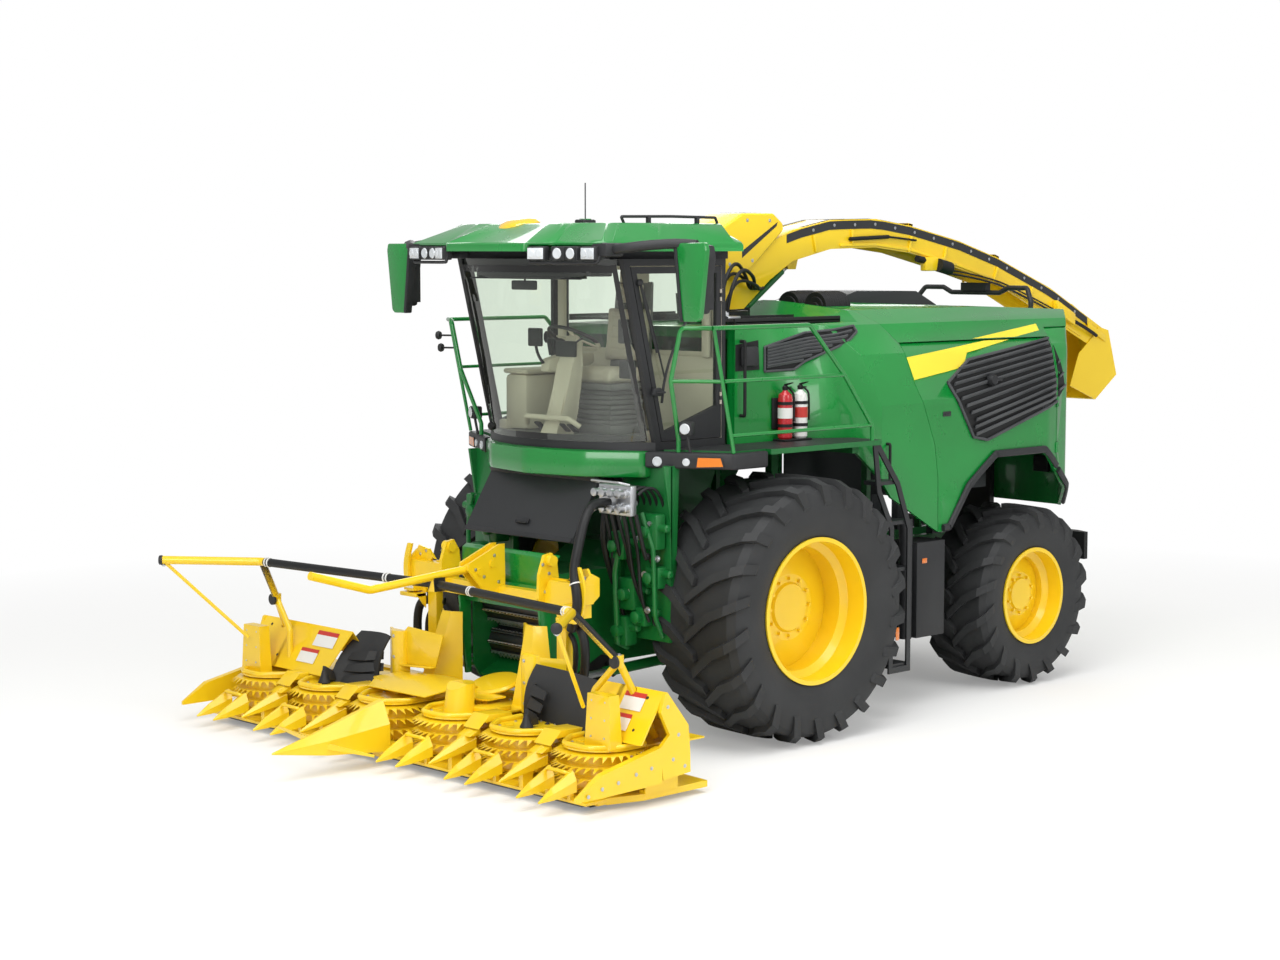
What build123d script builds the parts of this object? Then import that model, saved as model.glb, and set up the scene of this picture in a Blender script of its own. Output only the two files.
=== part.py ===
"""Self-propelled forage harvester with a six-drum row-independent header.

Millimetres. +X is the machine's left, its front faces -Y, +Z is up. Positions are written from the
front axle line (Y = 0) and the floor (Z = 0); put() moves each node back by Y_MID, which centres
the whole machine on the origin.
"""
from build123d import *
import os
from math import atan2, cos, degrees, hypot, pi, radians, sin

# ---- driving dimensions ----
RUN_CLEAR = 0.3            # running gap of curved faces that touch
WHEELBASE = 3125.0

FRONT_R, FRONT_HALF_W, FRONT_X = 1000.0, 440.0, 1320.0     # front tyre: radius, half width, centre
FRONT_RIM_R, FRONT_RIM_HALF_W = 552.0, 380.0
FRONT_LUGS, REAR_LUGS = 22, 18                             # tread lugs on each half of a tyre
LUG_H = 46.0
REAR_R, REAR_HALF_W, REAR_X = 760.0, 350.0, 1030.0         # rear tyre
REAR_RIM_R, REAR_RIM_HALF_W = 408.0, 313.0
KINGPIN_X = 600.0

RAIL_FRONT_X, RAIL_REAR_X, RAIL_W = 500.0, 200.0, 70.0     # frame rail centres and width
RAIL_Z0, RAIL_Z1 = 950.0, 1190.0
FRAME_FRONT_Y, NECK_Y, FRAME_REAR_Y = -560.0, 1900.0, 4200.0

CAB_X = 930.0                                              # cab half width at its pillars
CAB_FLOOR_Z, CAB_TOP_Z = 2260.0, 3600.0
CAB_REAR_Y = -200.0
PILLAR_FOOT_Y, PILLAR_HEAD_Y = -930.0, -1260.0             # leaning front pillars
ROOF_X, ROOF_FRONT_Y, ROOF_TOP_Z = 1066.0, -1587.0, 3860.0
CAB_WALL = 40.0

BODY_X, BODY_TOP_Z = 1300.0, 3200.0
BODY_WALL = 25.0
SEAM_GAP = 6.0
BODY_REAR_Y = 4080.0

PLATFORM_X, PLATFORM_Z, PLATFORM_T = 1500.0, 2170.0, 40.0
RAIL_R = 17.0

LIFT_Y, LIFT_Z = -350.0, 1000.0                            # header lift pivot
FEED_HALF_W, FEED_FRONT_Y = 440.0, -1480.0
FEED_PLATE = 20.0
CASE_GAP = 60.0                                            # cutterhead case to feed housing cheeks

ROW_PITCH = 750.0
DRUM_Y = -2350.0
DRUM_R, DISC_R, DISC_T, TEETH = 240.0, 352.0, 8.0, 24
HEADER_HALF_W = 2250.0

SPOUT_Y = 620.0                                            # spout swivel axis
SPOUT_LIFT_Z = 3290.0
SPOUT_HALF_W, SPOUT_WALL = 165.0, 8.0
SPOUT_END_Y = 5750.0
FLAP_Y, FLAP_Z = 5640.0, 2890.0                            # flap hinge

TIP_Y = -3700.0                                            # centre divider's point
TAIL_Y = 5935.0                                            # spout flap's tip
Y_MID = (TIP_Y + TAIL_Y) / 2.0


# ---- shapes ----
def put(node, *solids):
    """Write one node, moved from the axle line to the machine's centre."""
    centre = Location((0, -Y_MID, 0))
    pieces = [solid.moved(centre) for shape in solids for solid in shape.solids()]
    export_step(pieces[0] if len(pieces) == 1 else Compound(pieces), f"parts/{node}.step")


def block(x0, x1, y0, y1, z0, z1):
    return Pos((x0 + x1) / 2, (y0 + y1) / 2, (z0 + z1) / 2) * Box(x1 - x0, y1 - y0, z1 - z0)


def outline(points, inset=0.0):
    """A closed outline, moved inwards by inset with its corners kept sharp."""
    face = Polygon(*points, align=None)
    return offset(face, amount=-inset, kind=Kind.INTERSECTION) if inset else face


def side_prism(points, x0, x1, inset=0.0):
    """A (y, z) outline from x0 to x1."""
    return extrude(Plane.YZ.offset(x0) * outline(points, inset), x1 - x0, dir=(1, 0, 0))


def plan_prism(points, z0, z1, inset=0.0):
    """An (x, y) outline from z0 to z1."""
    return extrude(Plane.XY.offset(z0) * outline(points, inset), z1 - z0, dir=(0, 0, 1))


def front_prism(points, y0, y1, inset=0.0):
    """An (x, z) outline from y0 to y1."""
    plane = Plane(origin=(0, y1, 0), x_dir=(1, 0, 0), z_dir=(0, -1, 0))
    return extrude(plane * outline(points, inset), y1 - y0, dir=(0, -1, 0))


def rod(start, end, r):
    """A round bar between two points."""
    a, b = Vector(*start), Vector(*end)
    plane = Plane(origin=a, z_dir=(b - a).normalized())
    return extrude(plane * Circle(r), (b - a).length)


def cross_pin(x0, x1, y, z, r):
    return rod((x0, y, z), (x1, y, z), r)


def upright(x, y, z0, z1, r):
    return rod((x, y, z0), (x, y, z1), r)


def pipe(points, r, bend):
    """A tube along straight runs joined by arcs."""
    path = FilletPolyline(*points, radius=bend)
    start = Plane(origin=path @ 0, z_dir=path % 0)
    return sweep(start * Circle(r), path=path)


def flip(shape):
    return mirror(shape, about=Plane.YZ)


def both(shape):
    return [shape, flip(shape)]


def mirrored(points):
    """A half outline from the centre line outwards, closed over X = 0."""
    return points + [(-x, v) for x, v in reversed(points) if x != 0]


def fused(shapes):
    whole = shapes[0]
    for shape in shapes[1:]:
        whole = whole + shape
    return whole


def butted(shapes):
    """The shapes as separate pieces that meet face to face, each cut clear of those before it."""
    pieces = []
    for shape in shapes:
        for other in pieces:
            shape = shape - other
        pieces += shape.solids()
    return pieces


# ---- wheels ----
def tyre_outline(radius, half_w, rim_r, seat):
    """The outer half section from bead to bead: round sidewalls, shoulders and a slightly rounded tread."""
    shoulder, mid = radius - 50.0, (rim_r - 18.0 + radius) / 2.0
    return [
        Line((-seat, rim_r - 18.0), (-seat, rim_r)),
        ThreePointArc((-seat, rim_r), (-half_w, mid), (-half_w * 0.95, shoulder)),
        Line((-half_w * 0.95, shoulder), (-half_w * 0.82, radius - 12)),
        ThreePointArc((-half_w * 0.82, radius - 12), (0, radius), (half_w * 0.82, radius - 12)),
        Line((half_w * 0.82, radius - 12), (half_w * 0.95, shoulder)),
        ThreePointArc((half_w * 0.95, shoulder), (half_w, mid), (seat, rim_r)),
        Line((seat, rim_r), (seat, rim_r - 18.0)),
    ]


def lug(radius, half_w, pitch):
    """One tread bar: it starts past the centre line, bends as it climbs and ends flat at the shoulder."""
    w0, w1 = pitch * 0.23, pitch * 0.25
    middle, end = (half_w * 0.45, pitch * 0.62), (half_w + 10, pitch * 0.98)
    plan = [(-half_w * 0.07, -w0 / 2), (middle[0] + 10, middle[1] - w0 / 2), (end[0], end[1] - w1 / 2),
            (end[0], end[1] + w1 / 2), (middle[0] - 10, middle[1] + w0 / 2), (-half_w * 0.07, w0 / 2)]
    bar = plan_prism(plan, radius - 260, radius + 20)
    low, base = radius - 0.42 * half_w, radius - 270
    crown = [(-half_w, low), (-half_w * 0.99, radius - 56), (-half_w * 0.80, radius - 10), (0, radius),
             (half_w * 0.80, radius - 10), (half_w * 0.99, radius - 56), (half_w, low), (half_w * 0.9, base),
             (-half_w * 0.9, base)]
    return bar & revolve(make_face(Polyline(*crown, close=True)), Axis.X)


def tyre(radius, half_w, rim_r, rim_half_w, lugs):
    """Hollow carcass with its tread: lugs climb from the centre line to each shoulder in turn."""
    wall = 34.0
    seat, bead = rim_half_w - 18.0, rim_r - 18.0
    carcass_r, carcass_w = radius - LUG_H, half_w - 14.0
    inside, mid = carcass_w - wall, (bead + carcass_r) / 2.0
    shoulder = carcass_r - 50.0 - wall
    inner = [
        Line((seat, bead), (seat - wall, bead)),
        ThreePointArc((seat - wall, bead), (inside, mid), (inside * 0.93, shoulder)),
        Line((inside * 0.93, shoulder), (0, carcass_r - 2 * wall)),
        Line((0, carcass_r - 2 * wall), (-inside * 0.93, shoulder)),
        ThreePointArc((-inside * 0.93, shoulder), (-inside, mid), (wall - seat, bead)),
        Line((wall - seat, bead), (-seat, bead)),
    ]
    carcass = revolve(make_face(Wire(tyre_outline(carcass_r, carcass_w, rim_r, seat) + inner)), Axis.X)
    pitch = 2 * pi * radius / lugs
    bar = lug(radius, half_w, pitch)
    other = flip(bar)
    step = 360.0 / lugs
    return carcass + [Rot(step * i, 0, 0) * bar for i in range(lugs)] + [Rot(step * (i + 0.5), 0, 0) * other
                                                                           for i in range(lugs)]


def rim(rim_r, rim_half_w, disc_x, hub_r, studs):
    """Flanged rim with a dropped well, a dished disc and a bolted hub face, opening towards +X."""
    t = 14.0
    w, bead, well = rim_half_w, rim_r - 18.0 - RUN_CLEAR, rim_r - 70.0
    section = [(-w, rim_r), (-w + t, rim_r), (-w + t, bead), (-0.55 * w, bead), (-0.45 * w, well),
               (0.45 * w, well), (0.55 * w, bead), (w - t, bead), (w - t, rim_r), (w, rim_r),
               (w, bead - t), (0.58 * w, bead - t), (0.48 * w, well - t),
               (-0.48 * w, well - t), (-0.58 * w, bead - t), (-w, bead - t)]
    barrel = revolve(make_face(Polyline(*section, close=True)), Axis.X)
    dish = [(disc_x, 0), (disc_x, hub_r * 1.25), (disc_x - 60, well - t), (disc_x - 35, well - t),
            (disc_x + 24, hub_r * 1.32), (disc_x + 24, hub_r), (disc_x + 46, hub_r * 0.92), (disc_x + 46, 0)]
    disc = revolve(make_face(Polyline(*dish, close=True)), Axis.X)
    stud_ring = [Rot(360.0 * i / studs, 0, 0) * Pos(disc_x + 24, 0, hub_r * 1.14) * Rot(0, 90, 0)
                 * Cylinder(13, 26, align=(Align.CENTER, Align.CENTER, Align.MIN)) for i in range(studs)]
    return fused([barrel, disc] + stud_ring)


FRONT_DISC_X, REAR_DISC_X = 60.0, 130.0
FRONT_HUB_R, REAR_HUB_R = 190.0, 140.0


def wheel_pair(name, radius, half_w, x, y, rim_r, rim_half_w, disc_x, hub_r, studs, lugs):
    place = Pos(x, y, radius)
    carcass = place * tyre(radius, half_w, rim_r, rim_half_w, lugs)
    wheel = place * rim(rim_r, rim_half_w, disc_x, hub_r, studs)
    put(f"{name}_tyre_left", carcass)
    put(f"{name}_tyre_right", flip(carcass))
    put(f"{name}_rim_left", wheel)
    put(f"{name}_rim_right", flip(wheel))


def wheels():
    wheel_pair("front", FRONT_R, FRONT_HALF_W, FRONT_X, 0, FRONT_RIM_R, FRONT_RIM_HALF_W,
               FRONT_DISC_X, FRONT_HUB_R, 12, FRONT_LUGS)
    wheel_pair("rear", REAR_R, REAR_HALF_W, REAR_X, WHEELBASE, REAR_RIM_R, REAR_RIM_HALF_W,
               REAR_DISC_X, REAR_HUB_R, 10, REAR_LUGS)


# ---- frame, axles, engine ----
BEAM_Z0, BEAM_Z1 = 2110.0, 2170.0                          # cross beams under the cab and the body
AXLE_TUBE_R = 110.0
RAM_X = 560.0                                              # header lift rams
RAM_BASE = (-400.0, 560.0)
RAM_EYE = (-1500.0, 520.0)
RAM_PIN_R = 24.0
HITCH_R = 17.0


def main_frame():
    """Two rails that neck in ahead of the steered wheels, with posts, cross beams and the rear hitch."""
    rails = []
    for side in (1, -1):
        outer, inner = RAIL_W / 2, -RAIL_W / 2
        outline = [(side * (RAIL_FRONT_X + inner), FRAME_FRONT_Y), (side * (RAIL_FRONT_X + outer), FRAME_FRONT_Y),
                   (side * (RAIL_FRONT_X + outer), NECK_Y), (side * (RAIL_REAR_X + outer), NECK_Y + 320),
                   (side * (RAIL_REAR_X + outer), FRAME_REAR_Y), (side * (RAIL_REAR_X + inner), FRAME_REAR_Y),
                   (side * (RAIL_REAR_X + inner), NECK_Y + 280), (side * (RAIL_FRONT_X + inner), NECK_Y - 40)]
        rails.append(plan_prism(outline, RAIL_Z0, RAIL_Z1))
    ties = [block(-RAIL_FRONT_X, RAIL_FRONT_X, y, y + 100, RAIL_Z0 + 40, RAIL_Z1 - 40) for y in (560, 1500)]
    ties += [block(-RAIL_REAR_X, RAIL_REAR_X, y, y + 100, RAIL_Z0 + 40, RAIL_Z1 - 40) for y in (2500, 3600)]
    posts = [block(RAIL_FRONT_X - 35, RAIL_FRONT_X + 35, y, y + 70, RAIL_Z1, BEAM_Z0) for y in (-450, 740)]
    beams = [block(-x, x, y, y + 70, BEAM_Z0, BEAM_Z1) for x, y in ((PLATFORM_X - 60, -450), (1380, 740))]
    beams.append(block(-880, 880, -860, -800, BEAM_Z0, BEAM_Z1))
    sills = [block(620, 680, -800, 740, BEAM_Z0, BEAM_Z1)]
    cab_feet = [block(620, 680, y, y + 60, BEAM_Z1, CAB_FLOOR_Z - 60) for y in (-860, -420)]
    outriggers = [block(RAIL_FRONT_X + 35, 1000, 1560, 1640, 1000, 1080)]
    lugs = [block(RAM_X + x0, RAM_X + x1, RAM_BASE[0] - 55, RAM_BASE[0] + 55, RAM_BASE[1] - 60, RAIL_Z0 - 40)
            for x0, x1 in ((-60, -36), (36, 60))]
    cap = block(RAIL_FRONT_X - 35, RAM_X + 60, RAM_BASE[0] - 55, RAM_BASE[0] + 55, RAIL_Z0 - 40, RAIL_Z0)
    ram_pin = cross_pin(RAM_X - 60, RAM_X + 60, *RAM_BASE, RAM_PIN_R)
    clevis = fused(lugs + [cap, ram_pin])
    pivot = cross_pin(FEED_HALF_W - 40, RAIL_FRONT_X - 30, LIFT_Y, LIFT_Z, 40)
    paired = [piece for one in posts + sills + cab_feet + outriggers + [clevis, pivot]
              for piece in both(one)]
    beam = block(-235, 235, FRAME_REAR_Y - 40, 4250, 860, 1190)
    bar = plan_prism(mirrored([(0, 4240), (1050, 4240), (1050, 4290), (900, 4350), (0, 4350)]), 940, 1180)
    ears = [block(-45, 45, 4350, 4480, z, z + 25) for z in (980, 1080)]
    hitch = fused([beam, bar] + ears) - upright(0, 4430, 900, 1150, HITCH_R)
    rails = [rail - cross_pin(-900, 900, 0, FRONT_R, AXLE_TUBE_R) for rail in rails]
    put("main_frame", *butted([hitch] + rails + ties + beams + paired))
    tail = side_prism([(3980, RAIL_Z1), (4060, RAIL_Z1), (4060, 1600), (4050, 2400), (3980, 2400)], -200, 200)
    tail_post = tail & body_form(BODY_WALL)
    ring = body_form(BODY_WALL) - body_form(BODY_WALL + 60)
    hoops = [ring & block(-1300, 1300, y, y + 50, z, 3400) for y, z in ((1900, 1450), (3420, 1920))]
    hangers = [block(s * RAIL_REAR_X - 30, s * RAIL_REAR_X + 30, 3440, 3470, RAIL_Z1, 3100) for s in (1, -1)]
    hangers += [block(s * RAIL_FRONT_X - 30, s * RAIL_FRONT_X + 30, 1900, 1950, RAIL_Z1, 3100) for s in (1, -1)]
    put("body_frame", fused(hoops + hangers + [tail_post]))


def axles():
    beam_x = FRONT_X + FRONT_DISC_X - RUN_CLEAR
    tube = cross_pin(-beam_x, beam_x, 0, FRONT_R, AXLE_TUBE_R)
    case = (cross_pin(640, 850, 0, FRONT_R, 260)
            + side_prism([(-250, FRONT_R), (-330, 1500), (-200, 1780), (60, 1780), (250, FRONT_R)], 690, 850))
    put("front_axle", *butted([tube] + both(case)))

    trunnion = rod((0, WHEELBASE - 240, REAR_R), (0, WHEELBASE + 240, REAR_R), 75)
    pivot_lugs = [block(-110, 110, WHEELBASE + y, WHEELBASE + y + 60, REAR_R - 95, RAIL_Z0 + 40)
                  for y in (-240, 180)]
    hanger = block(-RAIL_REAR_X - 35, RAIL_REAR_X + 35, WHEELBASE - 240, WHEELBASE + 240, RAIL_Z0 - 30, RAIL_Z0)
    beam = (front_prism(mirrored([(0, 660), (400, 660), (500, 700), (500, 830), (400, 870), (0, 870)]),
                        WHEELBASE - 110, WHEELBASE + 110)
            & plan_prism(mirrored([(0, WHEELBASE - 110), (380, WHEELBASE - 110), (440, WHEELBASE - 60),
                                   (510, WHEELBASE - 60), (510, WHEELBASE + 60), (440, WHEELBASE + 60),
                                   (380, WHEELBASE + 110), (0, WHEELBASE + 110)]), 600, 900))
    jaws = []
    for side in (1, -1):
        lo, hi = min(side * 480, side * 665), max(side * 480, side * 665)
        for z0 in (590, 860):
            jaws.append(block(lo, hi, WHEELBASE - 60, WHEELBASE + 60, z0, z0 + 50))
        jaws.append(block(min(side * 480, side * 510), max(side * 480, side * 510), WHEELBASE - 60,
                          WHEELBASE + 60, 590, 910))
    axle = fused([beam, trunnion, hanger] + pivot_lugs + jaws)
    for side in (1, -1):
        axle = axle - upright(side * KINGPIN_X, WHEELBASE, 580, 920, KINGPIN_R)
    put("rear_axle", axle)


KINGPIN_R = 34.0
ARM_Y = WHEELBASE + 330.0                                  # steering arm pins


def steering():
    pin = upright(KINGPIN_X, WHEELBASE, 592, 908, KINGPIN_R - 0.05)
    body = block(KINGPIN_X - 55, KINGPIN_X + 60, WHEELBASE - 60, WHEELBASE + 60, 646, 854)
    stub = cross_pin(KINGPIN_X, REAR_X + REAR_DISC_X - RUN_CLEAR, WHEELBASE, REAR_R, 70)
    arm = block(KINGPIN_X - 40, KINGPIN_X + 40, WHEELBASE + 50, ARM_Y, 670, 700)
    eye = upright(KINGPIN_X, ARM_Y, 670, 700, 45)
    pin_down = upright(KINGPIN_X, ARM_Y, 620, 672, 18)
    knuckle = fused([pin, body, stub, arm, eye, pin_down])
    put("knuckle_left", knuckle)
    put("knuckle_right", flip(knuckle))
    bar = cross_pin(-KINGPIN_X, KINGPIN_X, ARM_Y, 642, 18)
    ends = [upright(s * KINGPIN_X, ARM_Y, 622, 662, 42) for s in (1, -1)]
    tie = fused([bar] + ends)
    for side in (1, -1):
        tie = tie - upright(side * KINGPIN_X, ARM_Y, 610, 675, 18.05)
    put("tie_rod", tie)


ENGINE_Y0, ENGINE_Y1, ENGINE_Z0, ENGINE_Z1 = 2150.0, 3350.0, 1620.0, 2480.0


def engine():
    feet = [block(s * 200 - 35, s * 200 + 35, y, y + 120, RAIL_Z1, ENGINE_Z0)
            for s in (1, -1) for y in (ENGINE_Y0 + 160, ENGINE_Y1 - 220)]
    put("engine_block", fused([block(-640, 640, ENGINE_Y0, ENGINE_Y1, ENGINE_Z0, ENGINE_Z1)] + feet))


def cutterhead():
    """Cutterhead housing between the front wheels, with the crop channel that climbs to the spout."""
    half = FEED_HALF_W - FEED_PLATE - CASE_GAP
    case = side_prism([(-700, 560), (-880, 700), (-880, 1250), (-560, 1420), (-200, 1420), (150, 1250),
                       (150, 700), (-100, 560)], -half, half)
    ears = both(block(half - 5, RAIL_FRONT_X - 35, 20, 120, 1130, 1190))
    mouth = block(-half + 20, half - 20, -900, -300, 700, 1230)
    chute = side_prism([(-120, 1400), (120, 1200), (960, 3060), (280, 3060)], -200, 200)
    hole = side_prism([(-110, 1300), (60, 1180), (860, 3200), (390, 3200)], -185, 185)
    ring = upright(0, SPOUT_Y, 3050, 3110, 290)
    bore = upright(0, SPOUT_Y, 3000, 3150, 200)
    housing = fused([case, chute, ring] + ears) - mouth - hole - bore
    put("cutterhead_housing", housing - cross_pin(-900, 900, 0, FRONT_R, AXLE_TUBE_R + RUN_CLEAR))


# ---- body ----
def body_form(inset=0.0):
    """The upper body as one solid, from its cross section, plan and side outlines; open below."""
    x, rear = BODY_X, BODY_REAR_Y
    section = [(0, 700), (x, 700), (x, 2450), (x - 90, 2850), (x - 230, 3080), (x - 420, 3190), (0, BODY_TOP_Z + 60)]
    plan = [(0, -150), (980, -150), (980, 620), (x, 1180), (x, 3350), (x - 75, rear - 380), (x - 350, rear - 70),
            (0, rear)]
    top = [(-150, 3080), (1180, 3100), (1268, 3255), (rear - 60, 3150), (rear, 3000)]
    arch = [(rear, 1440), (3960, 1440), (3800, 1545), (3600, 1700), (3300, 1960), (2600, 1960), (2260, 1720),
            (2015, 1400), (1888, 1400), (1300, 1720), (930, BEAM_Z1), (-150, BEAM_Z1)]
    side = top + ([(rear, 900), (-150, 900)] if inset else arch)
    return (front_prism(mirrored(section), -400, 4400, inset)
            & plan_prism(mirrored(plan), 800, 3500, inset)
            & side_prism(side, -1500, 1500, inset))


SEAM = [(1268, 3300), (1268, 3240), (1540, 2926), (1601, 2645), (1836, 2107), (1879, 1838), (1888, 1300)]
DOOR_TOP_Z, DOOR_REAR_Y = 2926.0, 3500.0
HINGE_R, HINGE_PIN_R, HINGE_HALF = 14.0, 6.0, 45.0         # butt hinges of the side doors and cab door
SIDE_HINGE = (BODY_X - 32, DOOR_REAR_Y + SEAM_GAP / 2)     # their upright axes (x, y)
SIDE_HINGE_Z = (1990.0, 2380.0)
CAB_HINGE = (CAB_X, -243.0)
CAB_HINGE_Z = (2560.0, 3330.0)


def hinged(leaf, carrier, axis, heights):
    """Cut a moat round each hinge, then give the leaf its knuckle and the carrier two knuckles and the pin."""
    x, y = axis
    third = HINGE_HALF / 3
    for z in heights:
        moat = upright(x, y, z - HINGE_HALF - 4, z + HINGE_HALF + 4, HINGE_R + 4)
        leaf, carrier = leaf - moat, carrier - moat
        knuckle = upright(x, y, z - third, z + third, HINGE_R) + block(x - 12, x - 4, y - 34, y, z - third, z + third)
        leaf = leaf + (knuckle - upright(x, y, z - third - 1, z + third + 1, HINGE_PIN_R + RUN_CLEAR))
        for z0, z1 in ((z - HINGE_HALF, z - third - RUN_CLEAR), (z + third + RUN_CLEAR, z + HINGE_HALF)):
            carrier = carrier + upright(x, y, z0, z1, HINGE_R) + block(x - 12, x - 4, y, y + 34, z0, z1)
        carrier = carrier + upright(x, y, z - HINGE_HALF, z + HINGE_HALF, HINGE_PIN_R)
    return leaf, carrier


def body():
    skin = body_form() - body_form(BODY_WALL)
    skin = skin - upright(0, SPOUT_Y, 2900, 3400, 320)
    skin = skin - block(-900, 900, -200, -100, 2000, 3000)
    lower, gap = SEAM[2:], SEAM_GAP / 2
    door = skin & side_prism([(y + gap, z) for y, z in lower]
                             + [(DOOR_REAR_Y, 1300), (DOOR_REAR_Y, DOOR_TOP_Z)], 1000, 1400)
    opening = side_prism([(y - gap, z) for y, z in lower[:-1]] + [(lower[-1][0] - gap, 1290)]
                         + [(DOOR_REAR_Y + SEAM_GAP, 1290), (DOOR_REAR_Y + SEAM_GAP, DOOR_TOP_Z + SEAM_GAP),
                            (lower[0][0] - gap, DOOR_TOP_Z + SEAM_GAP)], 990, 1400)
    skin = skin - opening - flip(opening)
    front_region = side_prism(SEAM + [(-400, 1300), (-400, 3300)], -1500, 1500)
    rear_region = block(-1400, 1400, DOOR_REAR_Y + SEAM_GAP / 2, BODY_REAR_Y + 100, 1000, 3010)
    housing = side_prism([(1650, 3150), (1690, 3240), (1976, 3324), (2752, 3315), (3020, 3197), (3020, 3150)],
                         -330, 330) - body_form()
    put("front_body", skin & front_region)
    put("rear_hood", (skin - front_region - rear_region) + housing)
    left, panel = hinged(door, skin & rear_region, SIDE_HINGE, SIDE_HINGE_Z)
    put("side_door_left", left)
    put("side_door_right", flip(left))
    put("rear_panel", (panel & block(0, 1400, 3000, 4200, 1000, 3100))
        + flip(panel & block(0, 1400, 3000, 4200, 1000, 3100)))


def spout_cradle():
    """A U of tube at the tail that the stowed spout lies over, with a rest pad in its dip."""
    y, top, dip = 3985.0, 3328.0, 3283.0
    tube = pipe([(650, 3940, 3100), (650, 3940, 3215), (575, y, top), (366, y, top), (272, y, dip), (-272, y, dip),
                 (-366, y, top), (-575, y, top), (-650, 3940, 3215), (-650, 3940, 3100)], 22, 40)
    pad = block(-140, 140, y - 35, y + 35, dip + 15, 3370)
    put("spout_cradle", tube + pad - body_form())


# ---- cab ----
def bow_form(foot, head, x, z0, z1):
    """A solid with a bowed, leaning front; foot and head are its (side y, middle y) at z0 and z1."""
    faces = []
    for (y_side, y_mid), z in ((foot, z0), (head, z1)):
        front = ThreePointArc((-x, y_side), (0, y_mid), (x, y_side))
        faces.append(Pos(0, 0, z) * make_face(Wire([front, Line((x, y_side), (-x, y_side))])))
    return loft(faces, ruled=True)


PILLAR = 60.0
SCREEN_T = 6.0


def cab():
    floor = extrude(Plane.XY.offset(CAB_FLOOR_Z - 60) * make_face(Wire([
        ThreePointArc((-CAB_X, PILLAR_FOOT_Y), (0, -1310), (CAB_X, PILLAR_FOOT_Y)),
        Line((CAB_X, PILLAR_FOOT_Y), (CAB_X, CAB_REAR_Y)), Line((CAB_X, CAB_REAR_Y), (-CAB_X, CAB_REAR_Y)),
        Line((-CAB_X, CAB_REAR_Y), (-CAB_X, PILLAR_FOOT_Y))])), 60, dir=(0, 0, 1))
    window_x, window_z0, window_z1 = CAB_X - 110, 2900, CAB_TOP_Z - 90
    rear_wall = block(-CAB_X, CAB_X, CAB_REAR_Y - CAB_WALL, CAB_REAR_Y, CAB_FLOOR_Z, CAB_TOP_Z)
    rear_wall = rear_wall - block(-window_x, window_x, CAB_REAR_Y - 60, CAB_REAR_Y + 20, window_z0, window_z1)
    pillar = side_prism([(PILLAR_FOOT_Y, CAB_FLOOR_Z), (PILLAR_FOOT_Y + PILLAR, CAB_FLOOR_Z),
                         (PILLAR_HEAD_Y + PILLAR, CAB_TOP_Z), (PILLAR_HEAD_Y, CAB_TOP_Z)], CAB_X - 45, CAB_X)
    side_rail = block(CAB_X - 45, CAB_X, PILLAR_HEAD_Y + 30, CAB_REAR_Y, CAB_TOP_Z - 50, CAB_TOP_Z)
    rail_x = CAB_X - 50
    front_rail = (bow_form((-1238, -1427), (-1238, -1427), rail_x, CAB_TOP_Z - 50, CAB_TOP_Z)
                  - bow_form((-1198, -1387), (-1198, -1387), rail_x, CAB_TOP_Z - 50, CAB_TOP_Z))
    z0, z1 = CAB_FLOOR_Z + SEAM_GAP, CAB_TOP_Z - 50 - SEAM_GAP
    y0, y_top, y1 = PILLAR_FOOT_Y + PILLAR + SEAM_GAP, PILLAR_HEAD_Y + PILLAR + SEAM_GAP + 14, -246.0
    outline = [(y0, z0), (y1, z0), (y1, z1), (y_top, z1)]
    inner = [(y0 + 22, z0 + 70), (y1 - 50, z0 + 240), (y1 - 50, z1 - 50), (y_top + 60, z1 - 50)]
    leaf = side_prism(outline, CAB_X - 35, CAB_X) - side_prism(inner, CAB_X - 60, CAB_X + 20)
    pane = side_prism(inner, CAB_X - 20, CAB_X - 14)
    fixed = side_prism([(y0 - SEAM_GAP, z0 - SEAM_GAP), (y1 + SEAM_GAP, z0 - SEAM_GAP),
                        (y1 + SEAM_GAP, z1 + SEAM_GAP), (y_top - SEAM_GAP - 14, z1 + SEAM_GAP)],
                       CAB_X - 35, CAB_X) - side_prism(inner, CAB_X - 60, CAB_X + 20)
    leaf, frame = hinged(leaf, fused([floor, rear_wall, front_rail, flip(fixed)] + both(pillar) + both(side_rail)),
                         CAB_HINGE, CAB_HINGE_Z)
    put("cab_frame", frame)
    put("cab_door_left", leaf)
    put("door_glass_left", pane)
    foot, head = (PILLAR_FOOT_Y - 12, -1330), (PILLAR_HEAD_Y - 12, -1450)
    screen = (bow_form(foot, head, rail_x, CAB_FLOOR_Z, CAB_TOP_Z)
              - bow_form([y + SCREEN_T for y in foot], [y + SCREEN_T for y in head], rail_x, CAB_FLOOR_Z, CAB_TOP_Z))
    rear_pane = block(-window_x, window_x, CAB_REAR_Y - 25, CAB_REAR_Y - 19, window_z0, window_z1)
    put("cab_glass", screen, rear_pane, flip(pane))


BRIM_Z = 3655.0


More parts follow.
